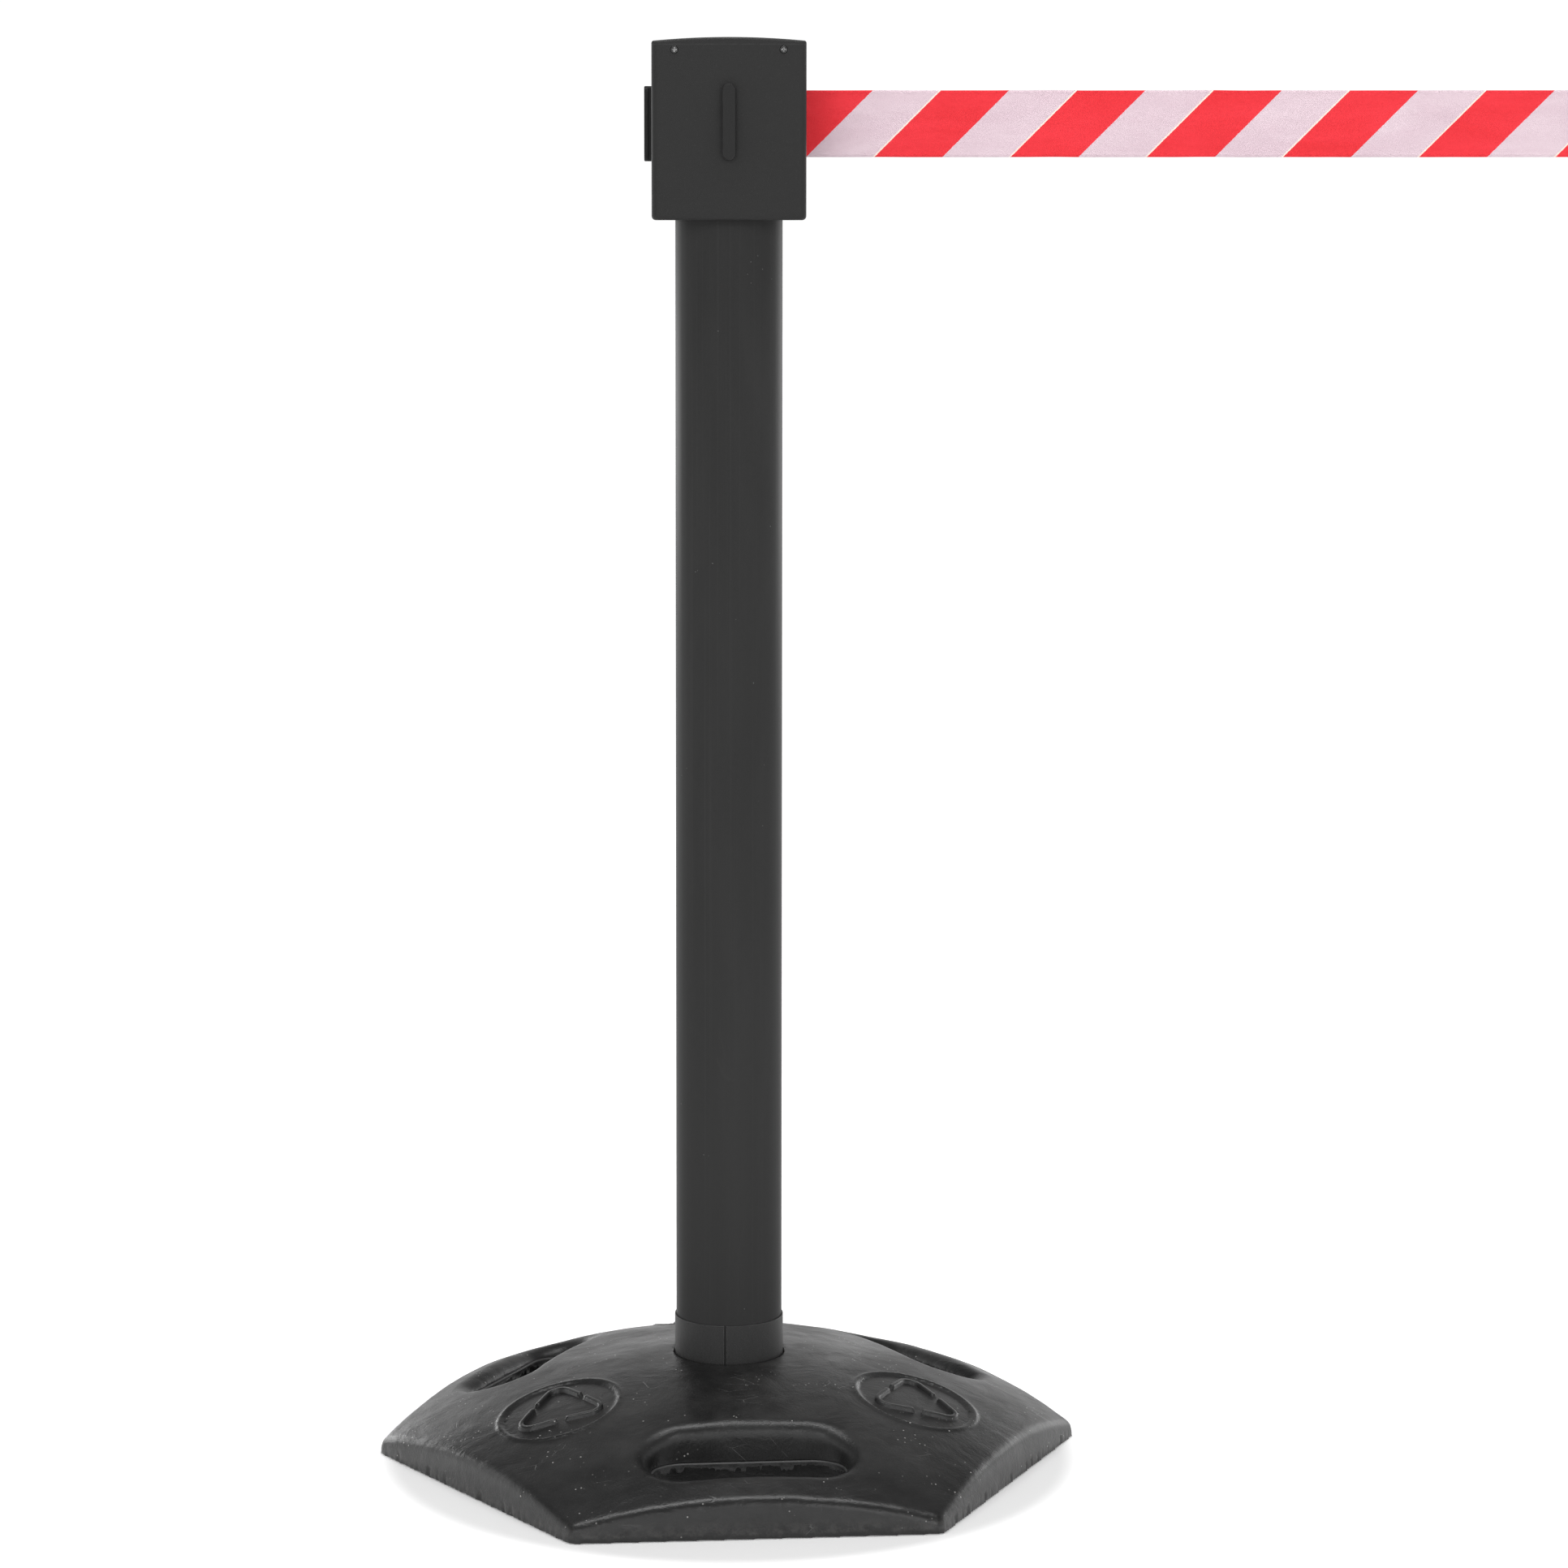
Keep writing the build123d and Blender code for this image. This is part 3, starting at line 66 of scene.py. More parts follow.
# ---- Sizes of the base and the belt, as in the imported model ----
BASE_TURN = math.radians(5)
DOME_RADIUS = 0.545
DOME_APEX = 0.072
HOLD_REACH = 0.160
HOLD_HALF = 0.044
HOLD_ROUND = 0.024
HOLD_LEDGE = 0.027
BADGE_REACH = 0.146
BADGE_ROUND = 0.0415
BADGE_DEPTH = 0.0014
TRIANGLE_RADIUS = 0.0445
BAR_WIDTH = 0.0042
BAR_RISE = 0.0026
BAR_BEND = 0.0085
BAR_GAP = 0.0042
BAR_END_DROP = 0.0008
TRIANGLE_SHORTENED = 0.964
BADGE_ANGLES = [BASE_TURN + math.radians(-150 + 120 * k) for k in range(3)]
STRIPE_WIDTH = 0.04824
FIRST_STRIPE = 0.0546

# ---- Finish of the base's skin ----
SKIN_VOXEL = 0.0017
SKIN_SMOOTHING = 4
TRUE_RADIUS = 0.048
SLOW_WAVE = 0.00045
FINE_WAVE = 0.00010
LIP_RISE = 0.0010
LIP_WIDTH = 0.0016
BADGE_CLEARED = 0.0022
NICK_DEPTH = 0.0016
RIM_REACH = 0.19
RIM_TOP = 0.007

# ---- Torn flash in the hand holds ----
FLASH_STEP = 0.0009
FLASH_TEETH = (0.0006, 0.0012, 0.0020, 0.0032, 0.0044)

# ---- Belt ribbon and its stitches ----
RIBBON_ACROSS = 40
RIBBON_ALONG = 700
RIBBON_HALF_THICKNESS = 0.00030
SELVEDGE_SWELL = 0.00009
WARP_PITCH = 0.00105
WEFT_PITCH = 0.00130
CORD_PITCH = 0.0011
STITCH_ROWS = 4
STITCHES_PER_ROW = 15
ROW_START = 0.0022
ROW_PITCH = 0.0032
STITCH_PITCH = 0.00290
STITCH_LENGTH = 0.0023
THREAD_RADIUS = 0.00026
THREAD_LIFT = 0.00022
THREAD_SIDES = 6

# ---- Floor ----
FLOOR_HALF = 30.0
FLOOR_DROP = 0.0004


# ================= Node helpers =================


class Shader:
    """A material around one Principled shader, with short calls for its texture nodes."""

    def __init__(self, name, **sockets):
        self.material = bpy.data.materials.new(name)
        self.material.use_nodes = True
        self.tree = self.material.node_tree
        self.tree.nodes.clear()
        out = self.tree.nodes.new("ShaderNodeOutputMaterial")
        self.bsdf = self.tree.nodes.new("ShaderNodeBsdfPrincipled")
        self.tree.links.new(self.bsdf.outputs[0], out.inputs[0])
        self.place = self.tree.nodes.new("ShaderNodeTexCoord").outputs["Object"]
        for socket, value in sockets.items():
            self.put(self.bsdf.inputs[socket.replace("_", " ")], value)

    def put(self, socket, value):
        """Links an output to the socket, or sets its plain value."""
        if isinstance(value, bpy.types.NodeSocket):
            self.tree.links.new(value, socket)
        elif hasattr(value, "__len__") and len(value) == 3 and len(socket.default_value) == 4:
            socket.default_value = (*value, 1)
        else:
            socket.default_value = value

    def set(self, **sockets):
        for socket, value in sockets.items():
            self.put(self.bsdf.inputs[socket.replace("_", " ")], value)

    def stretch(self, x, y, z):
        """The place on the piece, scaled along each axis."""
        node = self.tree.nodes.new("ShaderNodeMapping")
        self.put(node.inputs["Vector"], self.place)
        node.inputs["Scale"].default_value = (x, y, z)
        return node.outputs[0]

    def axis(self, name, vector=None):
        node = self.tree.nodes.new("ShaderNodeSeparateXYZ")
        self.put(node.inputs[0], self.place if vector is None else vector)
        return node.outputs[name]

    def reach(self, forward=0.0):
        """Distance in plan from the post's axis, or from a point that far in front of it."""
        x = self.math("POWER", self.axis("X"), 2.0)
        y = self.math("POWER", self.math("ADD", self.axis("Y"), forward), 2.0)
        return self.math("SQRT", self.math("ADD", x, y))

    def noise(self, scale, detail=3.0, rough=0.55, twist=0.0, vector=None):
        node = self.tree.nodes.new("ShaderNodeTexNoise")
        self.put(node.inputs["Vector"], self.place if vector is None else vector)
        node.inputs["Scale"].default_value = scale
        node.inputs["Detail"].default_value = detail
        node.inputs["Roughness"].default_value = rough
        node.inputs["Distortion"].default_value = twist
        return node.outputs["Fac"]

    def cells(self, scale, output="Distance", feature="F1", vector=None):
        node = self.tree.nodes.new("ShaderNodeTexVoronoi")
        node.feature = feature
        self.put(node.inputs["Vector"], self.place if vector is None else vector)
        node.inputs["Scale"].default_value = scale
        return node.outputs[output]

    def math(self, operation, a, b=0.0, clamp=False):
        node = self.tree.nodes.new("ShaderNodeMath")
        node.operation = operation
        node.use_clamp = clamp
        self.put(node.inputs[0], a)
        self.put(node.inputs[1], b)
        return node.outputs[0]

    def step(self, value, low, high, out_low=0.0, out_high=1.0):
        """Smooth change from out_low to out_high as value goes from low to high."""
        node = self.tree.nodes.new("ShaderNodeMapRange")
        node.interpolation_type = "SMOOTHSTEP"
        for socket, number in zip(node.inputs[:5], (value, low, high, out_low, out_high)):
            self.put(socket, number)
        return node.outputs[0]

    def mix(self, share, a, b):
        node = self.tree.nodes.new("ShaderNodeMix")
        node.data_type = "RGBA"
        self.put(node.inputs[0], share)
        self.put(node.inputs[6], a)
        self.put(node.inputs[7], b)
        return node.outputs[2]

    def bump(self, height, depth, strength=1.0, under=None):
        node = self.tree.nodes.new("ShaderNodeBump")
        node.inputs["Strength"].default_value = strength
        node.inputs["Distance"].default_value = depth
        self.put(node.inputs["Height"], height)
        if under is not None:
            self.put(node.inputs["Normal"], under)
        return node.outputs[0]

    def facing_up(self):
        """The surface's own upward share, 1 on a level top and 0 on an upright wall."""
        geometry = self.tree.nodes.new("ShaderNodeNewGeometry")
        return self.axis("Z", geometry.outputs["Normal"])

    def edges(self, radius):
        """1 along sharp edges and 0 on flat faces."""
        bevel = self.tree.nodes.new("ShaderNodeBevel")
        bevel.samples = 4
        bevel.inputs["Radius"].default_value = radius
        geometry = self.tree.nodes.new("ShaderNodeNewGeometry")
        dot = self.tree.nodes.new("ShaderNodeVectorMath")
        dot.operation = "DOT_PRODUCT"
        self.put(dot.inputs[0], bevel.outputs[0])
        self.put(dot.inputs[1], geometry.outputs["True Normal"])
        return self.step(dot.outputs["Value"], 0.995, 0.9)


def grey(value, warm=0.0):
    return (value * (1 + warm), value, value * (1 - warm))


# ================= Materials =================


def rubber():
    """Moulded recycled rubber: mottled and scuffed, with dust on top, dirt along the floor, a painted
    contact shadow along the floor line and painted shade inside the hand holds below their ledge.
    """
    s = Shader("rubber", Specular_IOR_Level=0.5)
    broad = s.noise(7, 4, 0.6, 0.6)
    mottled = s.noise(60, 5, 0.65)
    dark = s.mix(s.step(mottled, 0.35, 0.7), grey(0.0080), grey(0.0120))
    worn = s.mix(s.step(broad, 0.4, 0.72), dark, grey(0.022))
    patch = s.step(s.noise(16, 6, 0.7), 0.35, 0.75)
    dust_patch = s.math("MULTIPLY", s.step(s.facing_up(), 0.86, 0.995), patch)
    paled_tone = s.mix(s.math("MULTIPLY", dust_patch, 0.5), worn, grey(0.05, 0.03))
    streaks = s.noise(9, 6, 0.75, 0.4, s.stretch(1.0, 7.0, 7.0))
    scuffs = s.noise(5, 6, 0.8, 0.8, s.stretch(9.0, 1.6, 6.0))
    marks = s.math("ADD", s.step(streaks, 0.66, 0.74), s.step(scuffs, 0.68, 0.75), True)
    marked = s.mix(s.math("MULTIPLY", marks, 0.65), paled_tone, grey(0.055))
    slashes = s.step(s.noise(3.5, 4, 0.7, 1.1, s.stretch(2.0, 16.0, 8.0)), 0.70, 0.735)
    marked = s.mix(s.math("MULTIPLY", slashes, 0.7), marked, grey(0.004))
    hairs = s.cells(34, "Distance", "DISTANCE_TO_EDGE", s.stretch(1.0, 3.4, 2.0))
    hair = s.math("MULTIPLY", s.step(hairs, 0.012, 0.002), s.step(s.noise(23, 2), 0.58, 0.66))
    scratched = s.mix(s.math("MULTIPLY", hair, 0.65), marked, grey(0.11))
    speck = s.math("MULTIPLY", s.step(s.cells(230), 0.17, 0.09), s.step(s.noise(38, 2, 0.5), 0.55, 0.63))
    specked = s.mix(s.math("MULTIPLY", speck, 0.85), scratched, grey(0.42, 0.02))
    near_floor = s.step(s.axis("Z"), 0.016, 0.001)
    dirt = s.math("MULTIPLY", near_floor, s.step(s.noise(150, 6, 0.75), 0.42, 0.62))
    dirt_and_floor_shadow = s.mix(s.math("MULTIPLY", dirt, 0.4), specked, grey(0.07, 0.05))
    # Painted contact shadow: the bottom few millimetres go near black where the base meets the floor.
    dirt_and_floor_shadow = s.mix(s.step(s.axis("Z"), 0.0045, 0.0015, 0.0, 0.75), dirt_and_floor_shadow, grey(0.004))
    # Painted shade: below the ledge, the hand holds' walls and the underside are made near black, as if
    # in shadow.
    under_ledge = s.step(s.axis("Z"), HOLD_LEDGE, HOLD_LEDGE - 0.0008)
    painted_hold_shade = s.math("MULTIPLY", s.step(s.reach(), 0.199, 0.195), under_ledge)
    final = s.mix(painted_hold_shade, dirt_and_floor_shadow, grey(0.003))
    rough = s.step(broad, 0.25, 0.75, 0.30, 0.44)
    rough = s.math("ADD", rough, s.math("MULTIPLY", s.math("ADD", dust_patch, marks, True), 0.14))
    grain = s.bump(s.noise(900, 3, 0.6), 0.00025, 0.35)
    pits = s.bump(s.step(s.cells(310), 0.0, 0.35), 0.0003, 0.22, grain)
    waves = s.bump(s.noise(26, 5, 0.6, 0.5), 0.004, 0.30, pits)
    cuts = s.bump(s.math("SUBTRACT", 1.0, hair), 0.0006, 0.5, waves)
    s.set(Base_Color=final, Roughness=rough, Normal=cuts)
    return s.material


def flash_skin():
    """Thin torn rubber skin, paler along its folds than the moulding round it, with a painted highlight
    along its top edge at the ledge.
    """
    s = Shader("flash_skin", Specular_IOR_Level=0.5)
    folds = s.noise(220, 4, 0.7, 0.6)
    # Painted highlight: the skin's top edge at the ledge is made pale, as if catching the light.
    crest_highlight = s.step(s.axis("Z"), HOLD_LEDGE - 0.0004, HOLD_LEDGE + 0.0010)
    base = s.mix(s.step(folds, 0.35, 0.65), grey(0.016), grey(0.036))
    s.set(Base_Color=s.mix(s.math("MULTIPLY", crest_highlight, 0.7), base, grey(0.10)))
    s.set(Roughness=s.step(folds, 0.3, 0.7, 0.34, 0.5), Normal=s.bump(folds, 0.0006, 0.5))
    return s.material


def textured_plastic(name, shade, rough, grain_depth=0.00018, edge_shade=0.05, sheen=0.36):
    """Black plastic from a spark-eroded mould, rubbed lighter along its edges; on the collar the pale rub
    is also a painted highlight along the seam gap.
    """
    s = Shader(name, Specular_IOR_Level=sheen)
    cloud = s.noise(14, 4, 0.6, 0.3)
    base = s.mix(s.step(cloud, 0.3, 0.7), grey(shade * 0.88), grey(shade * 1.12))
    fleck = s.mix(s.step(s.noise(900, 2), 0.62, 0.72, 0.0, 0.5), base, grey(shade * 1.7))
    rub = s.math("MULTIPLY", s.edges(0.0009), s.step(s.noise(120, 4, 0.7), 0.38, 0.66, 0.25, 1.0))
    smears = s.step(s.noise(11, 5, 0.7, 1.2, s.stretch(1.0, 1.0, 2.6)), 0.56, 0.74)
    coloured = s.mix(s.math("MULTIPLY", rub, 0.55), fleck, grey(edge_shade))
    even = s.step(cloud, 0.25, 0.75, rough - 0.05, rough + 0.06)
    roughness = s.math("ADD", even, s.math("MULTIPLY", smears, 0.05))
    pitted = s.bump(s.noise(1500, 2, 0.5), grain_depth, 0.5)
    normal = s.bump(s.noise(40, 3), 0.0006, 0.12, pitted)
    s.set(Base_Color=coloured, Roughness=roughness, Normal=normal)
    return s.material


def post_skin():
    """Drawn plastic sleeve of the post: satin, with faint lengthwise die lines, handling marks and
    painted light towards the bottom.
    """
    s = Shader("post_skin", Specular_IOR_Level=0.03)
    lines = s.noise(1, 4, 0.6, 0.0, s.stretch(420, 420, 1.2))
    broad = s.noise(1, 3, 0.6, 0.4, s.stretch(22, 22, 3.5))
    shade = s.mix(s.step(broad, 0.3, 0.7), grey(0.0300), grey(0.0350))
    # Painted light: the sleeve is made paler towards the bottom, where the lamps light it less.
    paled_tone = s.mix(s.step(s.axis("Z"), 0.60, 0.12, 0.0, 0.5), shade, grey(0.045))
    lined = s.mix(s.step(lines, 0.52, 0.75, 0.0, 0.35), paled_tone, grey(0.046))
    rubbed = s.step(s.noise(6, 6, 0.75, 1.0, s.stretch(5, 5, 1.0)), 0.62, 0.76)
    low = s.step(s.axis("Z"), 0.30, 0.09)
    rub_share = s.math("ADD", 0.12, s.math("MULTIPLY", low, 0.3))
    scuffed = s.mix(s.math("MULTIPLY", rubbed, rub_share), lined, grey(0.06))
    fleck = s.math("MULTIPLY", s.step(s.cells(170), 0.09, 0.05), s.step(s.noise(30, 2), 0.60, 0.66))
    final = s.mix(s.math("MULTIPLY", fleck, 0.5), scuffed, grey(0.16))
    rough = s.math("ADD", s.step(broad, 0.25, 0.75, 0.36, 0.44), s.math("MULTIPLY", rubbed, 0.06))
    fine = s.bump(s.noise(1300, 2), 0.00008, 0.35)
    die = s.bump(lines, 0.00025, 0.25, fine)
    s.set(Base_Color=final, Roughness=rough, Normal=die)
    return s.material


def metal(name, colour, rough, tint, grain=(60, 60, 900)):
    """Plated or blued steel: rolled grain, patchy plating and small dull spots."""
    s = Shader(name, Metallic=1.0)
    cloud = s.noise(55, 4, 0.65, 0.5)
    lines = s.noise(1, 3, 0.6, 0.0, s.stretch(*grain))
    plated = s.mix(s.step(cloud, 0.3, 0.72), colour, tint)
    lined = s.mix(s.step(lines, 0.4, 0.7, 0.0, 0.3), plated, tuple(c * 0.7 for c in colour))
    spots = s.step(s.cells(420), 0.14, 0.06)
    spots = s.math("MULTIPLY", spots, s.step(s.noise(90, 2), 0.55, 0.65))
    final = s.mix(s.math("MULTIPLY", spots, 0.6), lined, tuple(c * 0.35 for c in colour))
    even = s.step(cloud, 0.25, 0.75, rough, rough + 0.14)
    roughness = s.math("ADD", even, s.math("MULTIPLY", spots, 0.2))
    s.set(Base_Color=final, Roughness=roughness, Normal=s.bump(lines, 0.0002, 0.2))
    return s.material


def black_screw():
    """Blackened steel, rubbed bright at the driver's slots, pale enough that the rub also paints glints
    on the heads.
    """
    s = Shader("black_screw", Metallic=0.85)
    # Near-white edge rub: partly wear, partly painted glints on the screw heads.
    rub = s.math("MULTIPLY", s.edges(0.0004), s.step(s.noise(600, 3), 0.4, 0.6, 0.3, 1.0))
    base = s.mix(s.step(s.noise(300, 4), 0.35, 0.7), grey(0.03), grey(0.06))
    s.set(Base_Color=s.mix(rub, base, grey(0.85)))
    s.set(Roughness=s.step(s.noise(240, 3), 0.3, 0.7, 0.28, 0.46))
    s.set(Normal=s.bump(s.noise(1800, 2), 0.0001, 0.4))
    return s.material


def inner_plastic():
    """Glass-filled plastic with short pale fibres in the surface."""
    s = Shader("inner_plastic", Specular_IOR_Level=0.45)
    flow = s.noise(30, 5, 0.6, 1.5)
    fibres = s.noise(1, 2, 0.5, 0.8, s.stretch(500, 1500, 700))
    base = s.mix(s.step(flow, 0.3, 0.7), grey(0.045), grey(0.075))
    final = s.mix(s.step(fibres, 0.62, 0.72, 0.0, 0.6), base, grey(0.19))
    s.set(Base_Color=final, Roughness=s.step(flow, 0.3, 0.7, 0.42, 0.6))
    s.set(Normal=s.bump(fibres, 0.00015, 0.3))
    return s.material


def acetal():
    """Natural acetal: milky white, with turning marks and grease shine."""
    s = Shader("acetal", Specular_IOR_Level=0.5, Subsurface_Weight=0.08)
    s.set(Subsurface_Radius=(0.002, 0.002, 0.002))
    cloud = s.noise(90, 4, 0.6)
    turned = s.noise(1, 2, 0.5, 0.0, s.stretch(60, 60, 2200))
    base = s.mix(s.step(cloud, 0.3, 0.7), (0.80, 0.79, 0.74), (0.70, 0.68, 0.62))
    s.set(Base_Color=base, Roughness=s.step(cloud, 0.3, 0.7, 0.26, 0.42))
    s.set(Normal=s.bump(turned, 0.00012, 0.3))
    return s.material


def webbing():
    """Woven polyester: red and pale slanted stripes, a plain weave and corded selvedges."""
    s = Shader("webbing", Specular_IOR_Level=0.25, Sheen_Weight=0.12, Sheen_Roughness=0.4)
    x, z = s.axis("X"), s.axis("Z")
    frayed = s.noise(1, 2, 0.5, 0.0, s.stretch(900, 900, 900))
    ragged = s.math("MULTIPLY", s.math("SUBTRACT", frayed, 0.5), 0.0009)
    belt_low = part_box("belt_strip")[0].z
    slant = s.math("ADD", s.math("SUBTRACT", s.math("SUBTRACT", x, z), FIRST_STRIPE - belt_low), ragged)
    turn = s.math("FRACT", s.math("DIVIDE", slant, 2 * STRIPE_WIDTH))
    along = s.math("MULTIPLY", turn, 2 * STRIPE_WIDTH)
    pale_part = s.math("LESS_THAN", along, STRIPE_WIDTH)
    cream_part = s.math("COMPARE", along, STRIPE_WIDTH - 0.0006)
    cream_part.node.inputs[2].default_value = 0.0007
    # Threads: warp cords along the belt and weft picks across it.
    warp = s.math("SINE", s.math("MULTIPLY", z, 2 * math.pi / WARP_PITCH))
    weft = s.math("SINE", s.math("MULTIPLY", x, 2 * math.pi / WEFT_PITCH))
    weave = s.math("MULTIPLY", warp, weft)
    rib = s.math("ADD", s.math("MULTIPLY", weave, 0.5), s.math("MULTIPLY", s.math("ABSOLUTE", warp), 0.5))
    fuzz = s.noise(1, 4, 0.7, 0.0, s.stretch(260, 2600, 2600))
    cloudy = s.noise(1, 4, 0.6, 0.5, s.stretch(10, 60, 45))
    red = s.mix(s.step(cloudy, 0.3, 0.7), (0.73, 0.024, 0.034), (0.81, 0.033, 0.048))
    red = s.mix(s.step(fuzz, 0.5, 0.75, 0.0, 0.35), red, (0.62, 0.016, 0.026))
    pale = s.mix(s.step(cloudy, 0.3, 0.7), (0.64, 0.49, 0.55), (0.70, 0.56, 0.615))
    pale = s.mix(s.step(fuzz, 0.5, 0.75, 0.0, 0.35), pale, (0.60, 0.42, 0.49))
    striped = s.mix(pale_part, red, pale)
    edged = s.mix(cream_part, striped, (0.88, 0.74, 0.66))
    shaded = s.mix(s.step(rib, 0.2, -0.5, 0.0, 0.16), edged, (0.25, 0.08, 0.09))
    belt_middle = belt_low + (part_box("belt_strip")[1].z - belt_low) / 2
    off_centre = s.math("ABSOLUTE", s.math("SUBTRACT", z, belt_middle))
    selvedge = s.step(off_centre, 0.0212, 0.0216)
    twist = s.math("SINE", s.math("MULTIPLY", s.math("ADD", x, z), math.pi / CORD_PITCH))
    cord = s.math("ABSOLUTE", twist)
    height = s.math("ADD", rib, s.math("MULTIPLY", selvedge, s.math("MULTIPLY", cord, 1.2)))
    woven = s.bump(height, 0.00022, 0.55)
    hairy = s.bump(fuzz, 0.0002, 0.35, woven)
    s.set(Base_Color=shaded, Roughness=s.step(fuzz, 0.3, 0.7, 0.62, 0.86), Normal=hairy)
    return s.material


def thread():
    """Twisted sewing thread."""
    s = Shader("thread", Specular_IOR_Level=0.3, Sheen_Weight=0.3, Sheen_Roughness=0.4)
    ply = s.noise(1, 2, 0.5, 0.0, s.stretch(3000, 3000, 900))
    s.set(Base_Color=s.mix(s.step(ply, 0.35, 0.65), (0.72, 0.70, 0.68), (0.50, 0.47, 0.46)))
    s.set(Roughness=s.step(ply, 0.3, 0.7, 0.5, 0.75), Normal=s.bump(ply, 0.0002, 0.6))
    return s.material


MATERIALS = {
    "rubber": rubber(),
    "post_skin": post_skin(),
    # The collar's pale edge rub is partly edge wear and partly a painted highlight along its seam gap.
    "collar": textured_plastic("collar", 0.0280, 0.46, edge_shade=0.14, sheen=0.3),
    "head_plastic": textured_plastic("head_plastic", 0.0130, 0.54, sheen=0.26),
    "rail_plastic": textured_plastic("rail_plastic", 0.0085, 0.52, edge_shade=0.06, sheen=0.26),
    "clip_plastic": textured_plastic("clip_plastic", 0.0145, 0.42),
    "inner_plastic": inner_plastic(),
    "acetal": acetal(),
    "zinc_steel": metal("zinc_steel", (0.60, 0.61, 0.63), 0.24, (0.66, 0.64, 0.56)),
    "spring_steel": metal("spring_steel", (0.20, 0.22, 0.27), 0.22, (0.28, 0.26, 0.30)),
    "black_screw": black_screw(),
    "webbing": webbing(),
}

for subpart in record["subparts"]:
    node = nodes[subpart["node"]]
    node.data.materials.clear()
    node.data.materials.append(MATERIALS[subpart["material_slot"]])


# ================= Mesh helpers =================


def add_piece(name, vertices, faces, slot, body, material=None, smooth=True):
    """A new mesh piece that rides on a body and takes its finish from a slot."""
    mesh = bpy.data.meshes.new(name)
    mesh.from_pydata([tuple(v) for v in vertices], [], faces)
    mesh.polygons.foreach_set("use_smooth", [smooth] * len(mesh.polygons))
    mesh.materials.append(material or MATERIALS[slot])
    mesh.update()
    piece = bpy.data.objects.new(name, mesh)
    scene.collection.objects.link(piece)
    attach(piece, body)
    return piece


def dome_height(radius):
    return DOME_APEX - DOME_RADIUS + math.sqrt(DOME_RADIUS**2 - radius**2)


def turned(x, y, angle):
    return x * math.cos(angle) - y * math.sin(angle), x * math.sin(angle) + y * math.cos(angle)


# ================= Base =================


def base_skin():
    """The rubber moulding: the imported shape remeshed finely, softened and made a little uneven."""
    source = nodes["base_moulding"]
    work = bmesh.new()
    work.from_mesh(source.data)
    bmesh.ops.remove_doubles(work, verts=work.verts, dist=1e-6)
    mesh = bpy.data.meshes.new("base_skin")
    work.to_mesh(mesh)
    work.free()
    piece = bpy.data.objects.new("base_skin", mesh)
    scene.collection.objects.link(piece)
    remesh = piece.modifiers.new("remesh", "REMESH")
    remesh.mode = "VOXEL"
    remesh.voxel_size = SKIN_VOXEL
    remesh.use_smooth_shade = True
    soften = piece.modifiers.new("soften", "SMOOTH")
    soften.factor = 0.5
    soften.iterations = SKIN_SMOOTHING
    bpy.context.view_layer.update()
    graph = bpy.context.evaluated_depsgraph_get()
    piece.data = bpy.data.meshes.new_from_object(piece.evaluated_get(graph))
    piece.data.name = "base_skin"
    piece.modifiers.clear()
    uneven(piece.data)
    piece.data.materials.clear()
    piece.data.materials.append(MATERIALS["rubber"])
    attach(piece, "stand")
    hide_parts("base_moulding")


def uneven(mesh):
    """Slow waves over the skin, a lip round each badge, and nicks along the bottom edge."""
    count = len(mesh.vertices)
    place = np.empty(count * 3, np.float32)
    normal = np.empty(count * 3, np.float32)
    mesh.vertices.foreach_get("co", place)
    mesh.vertices.foreach_get("normal", normal)
    place = place.reshape(-1, 3).astype(float)
    normal = normal.reshape(-1, 3).astype(float)
    radius = np.hypot(place[:, 0], place[:, 1])
    slow = np.array([noise.fractal(Vector(p) * 16, 0.9, 2.1, 3) for p in place])
    fine = np.array([noise.noise(Vector(p) * 95) for p in place])
    free = np.clip((radius - TRUE_RADIUS) / 0.02, 0, 1) * np.clip(place[:, 2] / 0.006, 0, 1)
    push = free * (SLOW_WAVE * slow + FINE_WAVE * fine)
    # Each badge's floor is cleared for its bars, and a soft lip stands round its edge.
    for angle in BADGE_ANGLES:
        dx = place[:, 0] - BADGE_REACH * math.cos(angle)
        dy = place[:, 1] - BADGE_REACH * math.sin(angle)
        ring = np.hypot(dx, dy) - BADGE_ROUND
        top = normal[:, 2] > 0.5
        push += top * (LIP_RISE * np.exp(-((ring - LIP_WIDTH) / LIP_WIDTH) ** 2))
        inside = (ring < -BADGE_CLEARED) & (place[:, 2] > 0.02)
        bowl = DOME_APEX - DOME_RADIUS + np.sqrt(DOME_RADIUS**2 - radius**2) - BADGE_DEPTH
        place[:, 2] = np.where(inside, bowl, place[:, 2])
    # Nicks and crumbs where the rubber was trimmed along the floor.
    rim = (radius > RIM_REACH) & (place[:, 2] < RIM_TOP) & (place[:, 2] > 0.0004)
    nick = np.zeros(count)
    for i in np.flatnonzero(rim):
        nick[i] = noise.noise(Vector((place[i, 0], place[i, 1], 0)) * 210)
    push += np.where(rim, -NICK_DEPTH * np.clip(nick - 0.12, 0, 1), 0)
    place += normal * push[:, None]
    place[:, 2] = np.maximum(place[:, 2], 0)
    mesh.vertices.foreach_set("co", place.astype(np.float32).ravel())
    mesh.update()


